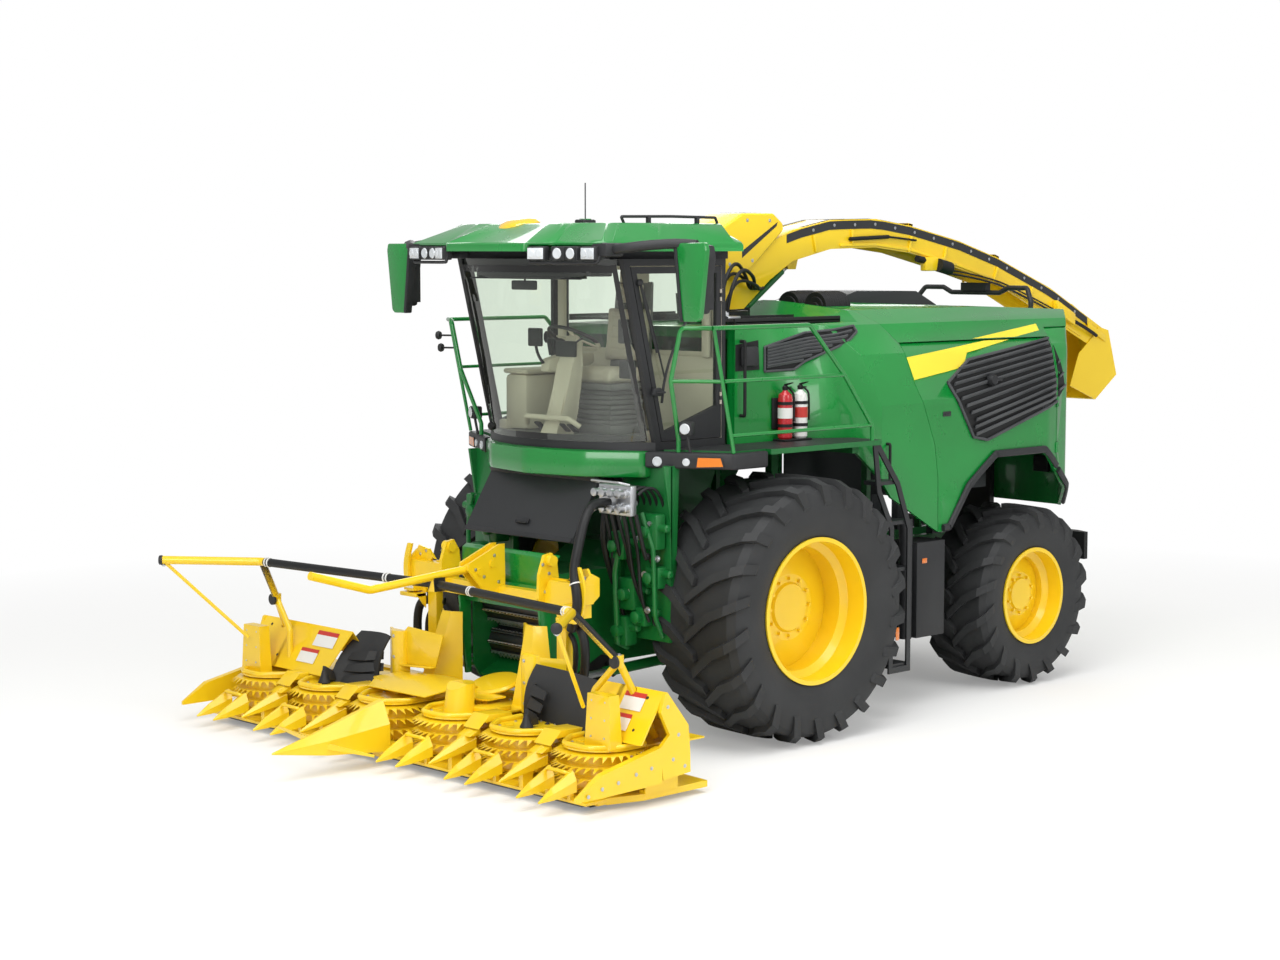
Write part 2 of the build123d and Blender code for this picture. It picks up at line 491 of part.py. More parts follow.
def roof():
    """Faceted roof with a drooping visor in the middle of its front edge, and its antenna."""
    lower = mirrored([(0, ROOF_FRONT_Y - 200), (430, ROOF_FRONT_Y - 190), (620, ROOF_FRONT_Y - 40),
                      (ROOF_X, ROOF_FRONT_Y), (ROOF_X + 40, -900), (ROOF_X, -150), (0, -150)])
    upper = mirrored([(0, ROOF_FRONT_Y + 160), (480, ROOF_FRONT_Y + 170), (880, ROOF_FRONT_Y + 330),
                      (930, -900), (900, -220), (0, -220)])
    plinth = block(-925, 925, -1380, -170, CAB_TOP_Z, BRIM_Z)
    brim = plan_prism(lower, BRIM_Z, BRIM_Z + 60)
    upper_roof = loft([Plane.XY.offset(BRIM_Z + 60) * Polygon(*lower, align=None),
                       Plane.XY.offset(ROOF_TOP_Z) * Polygon(*upper, align=None)], ruled=True)
    recess = block(460, 1000, -2000, -1480, BRIM_Z - 5, BRIM_Z + 45)
    mast = [upright(0, -770, ROOF_TOP_Z - 5, ROOF_TOP_Z + 40, 45), upright(0, -770, ROOF_TOP_Z, 4170, 5)]
    whole = fused([plinth, brim, upper_roof] + mast) - recess - flip(recess)
    put("cab_roof", whole)
    arm = pipe([(1040, -1200, 3690), (1400, -1200, 3722), (1600, -1200, 3700)], 24, 60)
    case = block(1540, 1730, -1265, -1140, 3250, 3690)
    put("mirrors", *both(arm + case - whole))


def cab_inside():
    cushion = block(-260, 260, -760, -320, 2640, 2790)
    back = side_prism([(-400, 2790), (-290, 2790), (-250, 3430), (-320, 3430)], -250, 250)
    base = block(-220, 220, -720, -330, CAB_FLOOR_Z, 2640)
    arm = block(-380, -290, -900, -400, 2700, 2850)
    shelf = block(-300, -220, -700, -420, 2650, 2740)
    put("driver_seat", fused([cushion, back, base, arm, shelf]))
    column = side_prism([(-1130, CAB_FLOOR_Z), (-1010, CAB_FLOOR_Z), (-863.2, 2986.4), (-916.8, 3013.6)], -60, 60)
    ring = Plane(origin=(0, -890, 3000), z_dir=(0, 0.45, 0.89))
    wheel_r, grip_r = 200.0, 14.0
    grip = sweep(Plane(origin=ring.from_local_coords((wheel_r, 0, 0)), z_dir=ring.y_dir) * Circle(grip_r),
                 path=Edge.make_circle(wheel_r, plane=ring))
    spokes = [extrude(ring * Rot(0, 0, a) * Pos(95, 0) * Rectangle(200, 30), 10) for a in (90, 210, 330)]
    hub = extrude(ring * Circle(40), 18)
    put("steering_column", fused([column, grip, hub] + spokes))


# ---- nose, bumper, platforms ----
def nose():
    plan = mirrored([(0, -1400), (520, -1290), (900, -1010), (900, -860), (0, -860)])
    put("nose_panel", plan_prism(plan, 2000, CAB_FLOOR_Z - 60))
    corner = [(905, -1020), (PLATFORM_X, -693), (PLATFORM_X, -330), (PLATFORM_X - 60, -300),
              (PLATFORM_X - 60, -640), (905, -930)]
    put("bumper", *both(plan_prism(corner, 2080, 2200)))
    put("front_shield", side_prism([(-1206, 1967), (-1225, 2000), (-1195, 2000), (-1176, 1955), (-1446, 1530),
                                    (-1476, 1540)], -607, 607))


def platforms():
    inner = 986.0
    plan = [(CAB_X + 40, -880), (PLATFORM_X - 66, -625), (PLATFORM_X - 66, -290), (PLATFORM_X - 10, -290),
            (PLATFORM_X - 10, 960), (1192, 960), (inner, 617), (inner, CAB_REAR_Y), (CAB_X + 40, CAB_REAR_Y)]
    deck = plan_prism(plan, PLATFORM_Z, PLATFORM_Z + PLATFORM_T)
    stringer = [(1085, 360), (1345, 360), (1345, 1500), (1200, 1860), (960, PLATFORM_Z),
                (880, PLATFORM_Z), (930, 1800), (1085, 1500)]
    outer = side_prism(stringer, 1460, 1475) - side_prism(stringer, 1455, 1480, 48)
    inner_plate = block(985, 1000, 1085, 1345, 360, 1560)
    treads = [block(985, 1460, 1095, 1335, z, z + 30) for z in (400, 780, 1160, 1530)]
    treads.append(block(1310, 1460, 960, 1180, 1850, 1880))
    put("platforms", fused([deck, outer, inner_plate] + treads), flip(deck))

    x = PLATFORM_X - RAIL_R
    z = PLATFORM_Z + PLATFORM_T
    top = 3110.0
    stations = [(1115, -875, 2200), (1115, -875, 2290), (1185, -1025, 2725), (1290, -1030, top), (x, -905, top)]
    front = pipe(stations, RAIL_R, 50)
    rear = pipe([(x, -905, top), (x, 130, top), (x, 520, 2725), (x, 850, 2320), (x, 850, z)], RAIL_R, 50)
    thin = RAIL_R - 3
    corner = rod((x, -679, 2204), (x, -888, top), thin)
    mid = rod((x, -780, 2725), (x, 516, 2725), thin)
    low = rod((x, -700, 2330), (x, 838, 2330), thin)
    front_mid = rod((1187, -1023, 2725), (x, -792, 2725), thin)
    put("handrails", *[piece for side in both(fused([rear, corner, mid, low])) + both(front - rear)
                       + both(front_mid - front - mid - corner) for piece in side.solids()])


def side_boxes():
    can = upright(1228, 1570, 560, 1530, 55)
    case = plan_prism([(1000, 1560), (1180, 1560), (1180, 1640), (1290, 1640), (1290, 1990), (1000, 1990)], 560, 1330)
    put("side_boxes", *both(fused([can, case])))


# ---- header lift body ----
def feed_housing():
    cheek_x0, cheek_x1 = FEED_HALF_W - FEED_PLATE, FEED_HALF_W
    front = FEED_FRONT_Y
    cheek = side_prism([(-900, 700), (front, 430), (front - 60, 520), (front - 60, 1180), (front, 1290),
                        (-900, 1290), (LIFT_Y, 1080), (LIFT_Y + 60, LIFT_Z), (LIFT_Y, 920), (-900, 900)],
                       cheek_x0, cheek_x1)
    cheek = cheek - cross_pin(cheek_x0 - 10, cheek_x1 + 10, LIFT_Y, LIFT_Z, 40 + RUN_CLEAR)
    top_plate = block(-FEED_HALF_W, FEED_HALF_W, front, -930, 1270, 1290)
    front_bar = block(-FEED_HALF_W, FEED_HALF_W, front - 60, front, 1060, 1290)
    floor_plate = side_prism([(-900, 700), (-900, 720), (front, 450), (front, 430)], -FEED_HALF_W, FEED_HALF_W)
    ram_pin = cross_pin(cheek_x1, RAM_X + 40, *RAM_EYE, RAM_PIN_R)
    put("feed_housing", fused(both(cheek) + both(ram_pin) + [top_plate, front_bar, floor_plate]))


def feed_rolls():
    w = FEED_HALF_W - FEED_PLATE - 6
    for name, y, z, r, bars in (("upper_feed_roll", -1330, 985, 130, 10), ("lower_feed_roll", -1300, 690, 100, 8)):
        ribs = [Pos(0, y, z) * Rot(360.0 * i / bars, 0, 0) * Pos(0, 0, r) * Box(2 * w, 12, 40) for i in range(bars)]
        reach = FEED_HALF_W - FEED_PLATE - RUN_CLEAR
        put(name, fused([cross_pin(-w, w, y, z, r), cross_pin(-reach, reach, y, z, 40)] + ribs))


def coupling_frame():
    """Header hook-up frame: a folded cross beam, a middle bracket for the push bar, two pierced hooks and legs."""
    beam = front_prism([(-560, 1190), (-620, 1290), (-1010, 1290), (-1010, 1150), (-780, 1080), (780, 1080),
                        (1010, 1150), (1010, 1290), (620, 1290), (560, 1190)], -1700, -1620)
    hook = side_prism([(-1700, 1080), (-1760, 1150), (-1750, 1330), (-1700, 1465), (-1630, 1478), (-1580, 1400),
                       (-1560, 1250), (-1600, 1150)], 545, 575)
    hook = hook - cross_pin(500, 600, -1655, 1425, 18)
    plate = front_prism([(570, 1160), (1005, 1160), (1005, 1330), (960, 1400), (840, 1380), (760, 1300),
                         (570, 1300)], -1642, -1622)
    window = front_prism([(700, 1200), (760, 1170), (820, 1200), (830, 1270), (790, 1320), (740, 1290)], -1650, -1610)
    ear = side_prism([(-1710, 1155), (-1710, 1300), (-1630, 1365), (-1560, 1330), (-1560, 1200), (-1620, 1155)],
                     986, 1006)
    middle = side_prism([(-1850, 1175), (-1990, 1330), (-1980, 1380), (-1690, 1500), (-1640, 1500), (-1636, 1290),
                         (-1636, 1130), (-1684, 1130)], 38, 58)
    web = block(-50, 50, -1690, -1642, 1140, 1280)
    feet = [block(s * 300 - 60, s * 300 + 60, -1660, FEED_FRONT_Y - 60, 1130, 1180) for s in (1, -1)]
    legs = [block(s * 740 - 50, s * 740 + 50, -1690, -1625, 400, 1120) for s in (1, -1)]
    pads = [block(s * 900 - 60, s * 900 + 60, -1790, -1690, 1065, 1145) for s in (1, -1)]
    shelf = [block(s * 900 - 95, s * 900 + 95, -1703, -1630, 1050, 1175) for s in (1, -1)]
    put("coupling_frame", fused([beam, web] + both(hook) + both(plate - window) + both(ear) + both(middle)
                                + feet + legs + pads + shelf))


COVER_Z = 372.0
POINT_BACK_Y = -2640.0


def drum_x(i):
    return (i - 2.5) * ROW_PITCH


def header_frame():
    beam = block(-1900, 1900, -1690, -1610, 180, 400)
    struts = [block(x - 30, x + 30, -1690, -1610, 85, 180) for x in (-1800, -900, 0, 900, 1800)]
    pan = plan_prism(mirrored([(0, -2560), (2150, -2560), (HEADER_HALF_W - 20, -2300),
                               (HEADER_HALF_W - 20, -1700), (1000, -1600), (0, -1600)]), 40, 85)
    bar = block(-2150, 2150, POINT_BACK_Y, -2560, 45, 80)
    spindles = [upright(drum_x(i), DRUM_Y, 85, 110, 70) for i in range(6)]
    put("header_frame", fused([beam, pan, bar] + struts + spindles))


def rim_bar(x, r, z):
    """The raised round bar that guards the front half of a drum cover, with its ends led back."""
    w = 250.0
    line = [(x - w, DRUM_Y + 160, z), (x - w, DRUM_Y - 60, z), (x - 120, DRUM_Y - 235, z), (x + 120, DRUM_Y - 235, z),
            (x + w, DRUM_Y - 60, z), (x + w, DRUM_Y + 160, z)]
    return pipe(line, r, 115)


def drum_covers():
    """Covers over the drums with rim bars, outer towers, crop posts, the middle hats and the feed throat's fans."""
    top = COVER_Z + 12
    deck = plan_prism(mirrored([(0, -1980), (2200, -1980), (2200, -1700), (0, -1700)]), COVER_Z, top)
    parts = [deck]
    for i in range(6):
        x = drum_x(i)
        parts.append(upright(x, DRUM_Y, COVER_Z, top, 262))
        parts.append(block(x - 262, x + 262, DRUM_Y, -1980, COVER_Z, top))
        parts.append(rim_bar(x, 20, top + 13))
    parts += [block(x - 30, x + 30, -1760, -1690, 330, COVER_Z) for x in (-1800, -1200, 1200, 1800)]
    outer = drum_x(5)
    tower = loft([Plane.XY.offset(top) * Pos(outer + 120, -2445) * Rectangle(250, 110),
                  Plane.XY.offset(744) * Pos(outer + 120, -2445) * Rectangle(210, 90)], ruled=True)
    hat = loft([Plane.XY.offset(top) * Pos(drum_x(3), DRUM_Y) * Circle(112),
                Plane.XY.offset(590) * Pos(drum_x(3), DRUM_Y + 25) * Circle(100)])
    hat = hat - side_prism([(DRUM_Y - 140, 520), (DRUM_Y - 140, 620), (DRUM_Y + 60, 620)], 200, 600)
    post = (upright(ROW_PITCH, -1980, top, 800, 78) - block(600, 900, -1980, -1800, 300, 900)
            + plan_prism([(672, -1980), (828, -1980), (1010, -1890), (1000, -1875), (820, -1962), (672, -1962)],
                         top, 780))
    fan = loft([Plane.XY.offset(top) * Polygon((330, -1730), (470, -1930), (640, -1900), (700, -1720),
                                               (680, -1716), (625, -1885), (478, -1914), (345, -1722), align=None),
                Plane.XY.offset(950) * Polygon((350, -1712), (430, -1760), (520, -1770), (600, -1704),
                                               (590, -1700), (515, -1754), (436, -1745), (362, -1700), align=None)],
               ruled=True)
    wing = plan_prism([(560, -2330), (700, -2290), (720, -2060), (480, -1960), (180, -1980), (150, -2100)],
                      top + 90, top + 102)
    wing_leg = block(380, 440, -2060, -2000, top, top + 92)
    shelf = plan_prism([(120, -2100), (300, -2230), (480, -2160), (470, -1990), (160, -1990)], top + 60, top + 72)
    parts += both(tower) + both(post) + both(fan) + [hat, flip(wing), flip(wing_leg), shelf,
                                                     block(250, 310, -2080, -2030, top, top + 62)]
    put("drum_covers", fused(parts))


DRUM_LEVELS = (190.0, 268.0, 344.0)
SAW_Z = 118.0
DRUM_TOP_Z = 364.0


def toothed_disc(z, r, depth, teeth, rake):
    """A flat disc whose saw teeth lean by rake degrees."""
    points = []
    for i in range(teeth):
        root, tip = radians(360.0 * i / teeth), radians(360.0 * i / teeth + rake)
        points += [((r - depth) * cos(root), (r - depth) * sin(root)), (r * cos(tip), r * sin(tip))]
    return plan_prism(points, z, z + DISC_T)


def drums():
    for i in range(6):
        lean = 10 if i < 3 else -10
        core = upright(0, 0, 110 + RUN_CLEAR, DRUM_TOP_Z, DRUM_R)
        discs = [toothed_disc(z, DISC_R, 55, TEETH, lean) for z in DRUM_LEVELS]
        saw = toothed_disc(SAW_Z, DISC_R - 10, 30, TEETH, lean)
        put(f"drum_{i + 1}", Pos(drum_x(i), DRUM_Y, 0) * fused([core, saw] + discs))


def point(x, tip, half_w, top_z, low_z, back_y):
    """A folded divider: a sharp point at tip (y, z) that widens and climbs to its open rear edge."""
    def roofed(y, w, z0, z1):
        plane = Plane(origin=(x, y, 0), x_dir=(1, 0, 0), z_dir=(0, -1, 0))
        return plane * Polygon((-w, z0), (w, z0), (w, z0 + 0.55 * (z1 - z0)), (0.25 * w, z1), (-0.25 * w, z1),
                               (-w, z0 + 0.55 * (z1 - z0)), align=None)
    middle = (tip[0] + back_y) / 2 - 40
    return loft([roofed(tip[0], 6, tip[1] - 6, tip[1] + 6),
                 roofed(middle, 0.55 * half_w, (tip[1] + low_z) / 2 - 14, tip[1] + 0.45 * (top_z - tip[1])),
                 roofed(back_y, half_w, low_z, top_z)], ruled=True)


def row_points():
    """Twelve small points in pairs with guard bars over their knives, four large dividers and the middle one."""
    small, bars = [], []
    for i in range(6):
        for dx in (-110, 110):
            x = drum_x(i) + dx
            small.append(point(x, (-3010, 100), 46, 270, 132, -2716))
            small.append(block(x - 14, x + 14, -2745, -2716, 60, 160))
        x0, x1 = drum_x(i) - 110, drum_x(i) + 110
        bars.append(pipe([(x0, -2712, 236), (x0 + 20, -2760, 262), (x1 - 20, -2760, 262), (x1, -2712, 236)], 13, 24))
    seams = (-2 * ROW_PITCH, -ROW_PITCH, ROW_PITCH, 2 * ROW_PITCH)
    large = [point(x, (-2930, 150), 60, 335, 215, -2550) for x in seams]
    large += [block(x - 20, x + 20, -2740, -2650, 60, 230) for x in seams]
    middle = point(0, (TIP_Y, 215), 105, 470, 110, -2760)
    keel = block(-60, 60, -2790, -2640, 60, 150)
    put("row_points", *fused(small + bars + large + [middle, keel, block(-2150, 2150, POINT_BACK_Y - 105,
                                                                          POINT_BACK_Y, 60, 78)]).solids())


SHIELD_X = HEADER_HALF_W - 5
STAY_JOINT = (1960, -2270, 935)                            # legged stays of the push tubes
STAY_FOOT = (2050, -2020, 400)


def end_shields():
    """Pierced side plate with its snout, and the folded deck that slopes from a ridge to the outer drum."""
    x = SHIELD_X
    snout = loft([Plane(origin=(x + 30, -2955, 150), x_dir=(1, 0, 0), z_dir=(0, 1, 0)) * Rectangle(18, 26),
                  Plane(origin=(x + 30, -2740, 215), x_dir=(1, 0, 0), z_dir=(0, 1, 0)) * Rectangle(52, 150),
                  Plane(origin=(x + 30, -2200, 275), x_dir=(1, 0, 0), z_dir=(0, 1, 0)) * Rectangle(60, 245)],
                 ruled=True)
    wall = side_prism([(-2190, 171), (-1936, 192), (-1940, 340), (-1956, 514), (-2152, 757), (-2170, 750),
                       (-2214, 628), (-2130, 467), (-2215, 395)], x + 30, x + 60)
    ridge = side_prism([(-2372, 424), (-2354, 424), (-2150, 741), (-1970, 514), (-1950, COVER_Z + 12),
                        (-1934, COVER_Z + 12), (-1956, 514), (-2152, 757)], 1860, x + 30)
    ridge = ridge - rod(STAY_JOINT, STAY_FOOT, 32)
    rear = block(1860, x + 30, -1960, -1944, COVER_Z + 12, 500)
    foot = block(HEADER_HALF_W - 60, x, -2300, -2000, 85, 108)
    foot = foot + block(x - 8, x + 2, -2300, -2000, 85, 180)
    put("end_shields", *both(fused([snout, wall, ridge, rear, foot])))


def crop_guide():
    """Push tubes: a bowed cross tube with drop rods at its ends, two legged stays and the middle push bar."""
    z = 1270.0
    main = pipe([(-2281, -3112, 1289), (-1780, -2528, z), (0, -2240, z - 20), (1780, -2528, z),
                 (2281, -3112, 1289)], 32, 90)
    x, y, top = STAY_JOINT
    foot = rod(STAY_JOINT, STAY_FOOT, 26) - block(1900, 2200, -2200, -1900, 300, COVER_Z + 12)
    leg = pipe([STAY_JOINT, (1750, -2300, 715), (1750, -2300, COVER_Z + 12)], 24, 60)
    stay = fused([rod((1790, -2520, z - 8), STAY_JOINT, 28), foot, leg,
                  upright(x, y, top - 42, top + 42, 34)])
    middle = pipe([(0, -3361, 1418), (0, -2845, 1268), (0, -1990, 1330), (0, -1665, 1433)], 30, 120)
    eye = cross_pin(-38, 38, -1665, 1433, 40)
    thin = rod((2270, -3100, 1280), (1930, -2565, 666), 14)
    saddle = side_prism([(-2290, 1200), (-2190, 1200), (-2190, 1300), (-2290, 1300)], -36, 36)
    put("crop_guide", fused([main, middle, eye, saddle] + both(stay) + both(thin)))


# ---- lift rams ----
def along(start, end, distance):
    """The (y, z) point at a distance from start towards end."""
    f = distance / hypot(end[0] - start[0], end[1] - start[1])
    return start[0] + f * (end[0] - start[0]), start[1] + f * (end[1] - start[1])


def ram(x, base, eye, bore_r, closed, travel, eye_w, base_hole_r, eye_hole_r):
    """A ram's barrel, which reaches closed from its base, and its rod, both at rest."""
    def at(distance):
        return (x, *along(base, eye, distance))
    wall = bore_r * 0.45
    tube = rod(at(70), at(closed), bore_r + wall) - rod(at(150), at(closed + 10), bore_r)
    base_eye = cross_pin(x - eye_w / 2, x + eye_w / 2, *base, base_hole_r + 22) + rod(at(0), at(80), 20)
    barrel = (tube + base_eye) - cross_pin(x - eye_w, x + eye_w, *base, base_hole_r)
    ring = cross_pin(x - eye_w / 2, x + eye_w / 2, *eye, eye_hole_r + 14)
    bar = rod(at(closed - travel - 80), (x, *eye), bore_r - RUN_CLEAR)
    piston = (bar + ring) - cross_pin(x - eye_w, x + eye_w, *eye, eye_hole_r)
    return barrel, piston


def header_rams():
    barrel, piston = ram(RAM_X, RAM_BASE, RAM_EYE, 27, 700, 120, 60, RAM_PIN_R + 0.05, RAM_PIN_R + 8)
    put("lift_ram_barrels", *both(barrel))
    put("lift_ram_rods", *both(piston))


# ---- spout ----
SPOUT_RAM_BASE = (960.0, 3170.0)
SPOUT_RAM_EYE = (1500.0, 3540.0)
SPOUT_PIVOT = (420.0, 3270.0)


def turret():
    ring = upright(0, SPOUT_Y, 3110 + RUN_CLEAR, 3180, 280) - upright(0, SPOUT_Y, 3100, 3190, 200)
    cheek = side_prism([(400, 3150), (620, 3150), (480, 3320), (380, 3320)], SPOUT_HALF_W + 8, SPOUT_HALF_W + 24)
    pins = cross_pin(SPOUT_HALF_W - SPOUT_WALL, SPOUT_HALF_W + 16, *SPOUT_PIVOT, 20)
    ears = [side_prism([(820, 3112), (1000, 3112), (1000, 3200), (900, 3200), (820, 3178)], x, x + 14) for x in (-42, 28)]
    arm = block(-42, 42, 820, 900, 3112, 3160)
    pin = cross_pin(-42, 42, *SPOUT_RAM_BASE, 18)
    put("spout_turret", fused([ring] + both(cheek) + both(pins) + ears + [arm, pin]))


# spout outline rows: y, top z, bottom z
SPOUT_ROWS = ((400, 3300, 3190), (560, 3420, 3190), (800, 3560, 3195), (1100, 3725, 3420), (1373, 3825, 3573),
              (1838, 3912, 3671), (2410, 3925, 3685), (2872, 3868, 3637), (3532, 3742, 3500), (4077, 3595, 3367),
              (4876, 3315, 3038), (5509, 3020, 2771))


def spout_outline(top_inset, bottom_inset, y0, y1):
    rows = [row for row in SPOUT_ROWS if y0 <= row[0] <= y1]
    return ([(y, top - top_inset) for y, top, _ in rows] + [(y, low + bottom_inset) for y, _, low in reversed(rows)])


CHUTE_OPEN_Y = 1838


def spout():
    """Square-section chute: a rising elbow and crest closed below, then a falling arc open below."""
    solid = side_prism(spout_outline(0, 0, 0, 6000)[:12] + [(SPOUT_END_Y, 2907)] + spout_outline(0, 0, 0, 6000)[12:],
                       -SPOUT_HALF_W, SPOUT_HALF_W)
    w = SPOUT_HALF_W - SPOUT_WALL
    closed = side_prism(spout_outline(10, 10, 500, CHUTE_OPEN_Y), -w, w)
    outlet = side_prism(spout_outline(10, -60, CHUTE_OPEN_Y, 6000)[:7] + [(SPOUT_END_Y + 20, 2887)]
                        + spout_outline(10, -60, CHUTE_OPEN_Y, 6000)[7:], -w, w)
    inlet = side_prism([(440, 3150), (440, 3290), (560, 3405), (780, 3400), (780, 3150)], -w, w)
    chute = solid - closed - outlet - inlet
    chute = chute - cross_pin(-SPOUT_HALF_W - 5, SPOUT_HALF_W + 5, *SPOUT_PIVOT, 20 + RUN_CLEAR)
    chute = chute - cross_pin(-SPOUT_HALF_W - 5, SPOUT_HALF_W + 5, FLAP_Y, FLAP_Z, 12 + RUN_CLEAR)
    ears = [side_prism([(1455, 3505), (1545, 3505), (1580, 3616), (1420, 3584)], x, x + 14) for x in (-44, 30)]
    put("spout_chute", fused([chute] + ears))
    hood = [(523, 3440), (476, 3820), (749, 3956), (1110, 3960), (1266, 3849), (960, 3600), (786, 3500)]
    shell = side_prism(hood, -200, 200)
    shell = fillet([e for e in shell.edges() if abs(e.tangent_at(0).X) > 0.99 and e.center().Z > 3700], 55)
    faces = shell.faces().sort_by(Axis.X)
    rims = [e for face in (faces[0], faces[-1]) for e in face.edges() if e.center().Z > 3660]
    cover = fillet(rims, 20) - side_prism(hood, -190, 190, 12)
    put("spout_hood", cover - solid)
    barrel, piston = ram(0, SPOUT_RAM_BASE, SPOUT_RAM_EYE, 18, 560, 260, 48, 18.05, 14)
    put("spout_ram_barrel", barrel)
    put("spout_ram_rod", piston)


def spout_flap():
    """Deflector at the spout's end: two cheeks outside the chute and a bent back plate."""
    x0 = SPOUT_HALF_W + 6
    cheek = side_prism([(5560, 2860), (5640, 2940), (5790, 2905), (5935, 2480), (5600, 2255), (5200, 2400),
                        (5330, 2700)], x0, x0 + 6)
    pins = cross_pin(SPOUT_HALF_W - SPOUT_WALL, x0 + 3, FLAP_Y, FLAP_Z, 12)
    back = side_prism([(5766, 2900), (5790, 2905), (5935, 2480), (5600, 2255), (5594, 2266), (5912, 2484)], -x0, x0)
    put("spout_flap", fused(both(cheek) + both(pins) + [back]))


def main():
    os.makedirs("parts", exist_ok=True)
    wheels()
    main_frame()
    axles()
    steering()
    engine()
    cutterhead()
    body()
    spout_cradle()
    cab()
    roof()
    cab_inside()
    nose()
    platforms()
    side_boxes()
    feed_housing()
    feed_rolls()
    coupling_frame()
    header_frame()
    drum_covers()
    drums()
    row_points()
    end_shields()
    crop_guide()
    header_rams()
    turret()
    spout()
    spout_flap()


main()
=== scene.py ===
"""Looks of the forage harvester: finishes, lamps, grilles, cab trim, hoses and fittings round the CAD frame.

Metres. Positions are written from the front axle line, as in the part's source, and AXLE_Y moves them
into the shared frame. +X is the machine's left, its front faces -Y, +Z is up.
"""
from math import cos, degrees, pi, radians, sin

import bmesh
import bpy
from mathutils import Matrix, Vector
from mathutils.bvhtree import BVHTree


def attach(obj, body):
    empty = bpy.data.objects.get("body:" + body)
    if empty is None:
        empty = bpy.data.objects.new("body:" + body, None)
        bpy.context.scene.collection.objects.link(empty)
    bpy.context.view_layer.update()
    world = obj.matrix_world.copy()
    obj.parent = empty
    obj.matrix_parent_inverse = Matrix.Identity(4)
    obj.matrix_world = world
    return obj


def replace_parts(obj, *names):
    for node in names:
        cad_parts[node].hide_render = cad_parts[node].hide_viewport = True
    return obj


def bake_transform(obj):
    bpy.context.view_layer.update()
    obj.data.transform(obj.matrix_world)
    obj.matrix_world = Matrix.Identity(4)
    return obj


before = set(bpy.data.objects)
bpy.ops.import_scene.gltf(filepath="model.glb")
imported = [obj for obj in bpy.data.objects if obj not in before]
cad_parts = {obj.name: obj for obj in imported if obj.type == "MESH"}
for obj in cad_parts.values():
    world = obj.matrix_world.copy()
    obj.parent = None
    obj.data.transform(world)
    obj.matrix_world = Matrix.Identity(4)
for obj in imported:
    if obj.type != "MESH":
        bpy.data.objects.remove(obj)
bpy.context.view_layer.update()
AXLE_Y = -1.1175
OUT, AHEAD, UP = (1, 0, 0), (0, -1, 0), (0, 0, 1)     # to the machine's left, to its front and up
SIDES = (("left", 1), ("right", -1))
scene = bpy.context.scene


# ---- finishes ----
def linear(code):
    """A linear colour from an sRGB hex value."""
    channels = [int(code[i:i + 2], 16) / 255.0 for i in (1, 3, 5)]
    return tuple(c / 12.92 if c <= 0.04045 else ((c + 0.055) / 1.055) ** 2.4 for c in channels) + (1.0,)


def add(tree, kind, settings=(), **links):
    """One node with its settings. A link's key is the input's name, or i and its number; its value is a
    socket or a plain value."""
    node = tree.nodes.new(kind)
    for name, value in dict(settings).items():
        setattr(node, name, value)
    for key, value in links.items():
        numbered = key[0] == "i" and key[1:].isdigit()
        socket = node.inputs[int(key[1:]) if numbered else key.replace("_", " ")]
        if isinstance(value, bpy.types.NodeSocket):
            tree.links.new(value, socket)
        else:
            socket.default_value = value
    return node


def material(name):
    """An empty node material with its output, and its Object coordinates."""
    made = bpy.data.materials.new(name)
    made.use_nodes = True
    tree = made.node_tree
    tree.nodes.clear()
    coords = add(tree, "ShaderNodeTexCoord").outputs["Object"]
    return made, tree, coords


def noise(tree, coords, scale, detail, **more):
    """Soft random spots, this many to a metre."""
    return add(tree, "ShaderNodeTexNoise", Vector=coords, Scale=scale, Detail=detail, **more).outputs["Fac"]


def between(tree, value, low, high):
    """A share from 0 to 1 spread between two values."""
    return add(tree, "ShaderNodeMapRange", Value=value, To_Min=low, To_Max=high).outputs[0]


def two_tones(tree, share, shade, deep):
    """A colour that drifts between a deeper and a lighter tone."""
    node = add(tree, "ShaderNodeValToRGB", Fac=share)
    for point, stop, code in zip(node.color_ramp.elements, (0.3, 0.7), (deep, shade)):
        point.position, point.color = stop, linear(code)
    return node.outputs["Color"]


def surface(made, tree, **inputs):
    """Close a material with its shader and output."""
    shader = add(tree, "ShaderNodeBsdfPrincipled", **inputs)
    add(tree, "ShaderNodeOutputMaterial", Surface=shader.outputs[0])
    return made


def bump(tree, height, strength, distance):
    return add(tree, "ShaderNodeBump", Height=height, Strength=strength, Distance=distance).outputs[0]


def enamel(name, shade, deep, roughness=0.28, coat=0.6):
    """Baked two-layer enamel on pressed steel: an even colour, a faint orange peel and a clear gloss."""
    made, tree, coords = material(name)
    colour = two_tones(tree, noise(tree, coords, 0.9, 3.0), shade, deep)
    peel = noise(tree, coords, 260.0, 2.0)
    rough = between(tree, noise(tree, coords, 6.0, 4.0), roughness - 0.05, roughness + 0.07)
    return surface(made, tree, Base_Color=colour, Roughness=rough, Coat_Weight=coat, Coat_Roughness=0.06,
                   Normal=bump(tree, peel, 0.05, 0.0006))


def moulded(name, shade, deep, roughness, grain, depth, specular=0.4):
    """Moulded plastic or rubber: a fine grain from the mould that breaks up the shine."""
    made, tree, coords = material(name)
    tone = noise(tree, coords, 3.0, 4.0)
    pits = add(tree, "ShaderNodeTexVoronoi", Vector=coords, Scale=grain).outputs["Distance"]
    return surface(made, tree, Base_Color=two_tones(tree, tone, shade, deep), Specular_IOR_Level=specular,
                   Roughness=between(tree, tone, roughness - 0.06, roughness + 0.06),
                   Normal=bump(tree, pits, 0.35, depth))


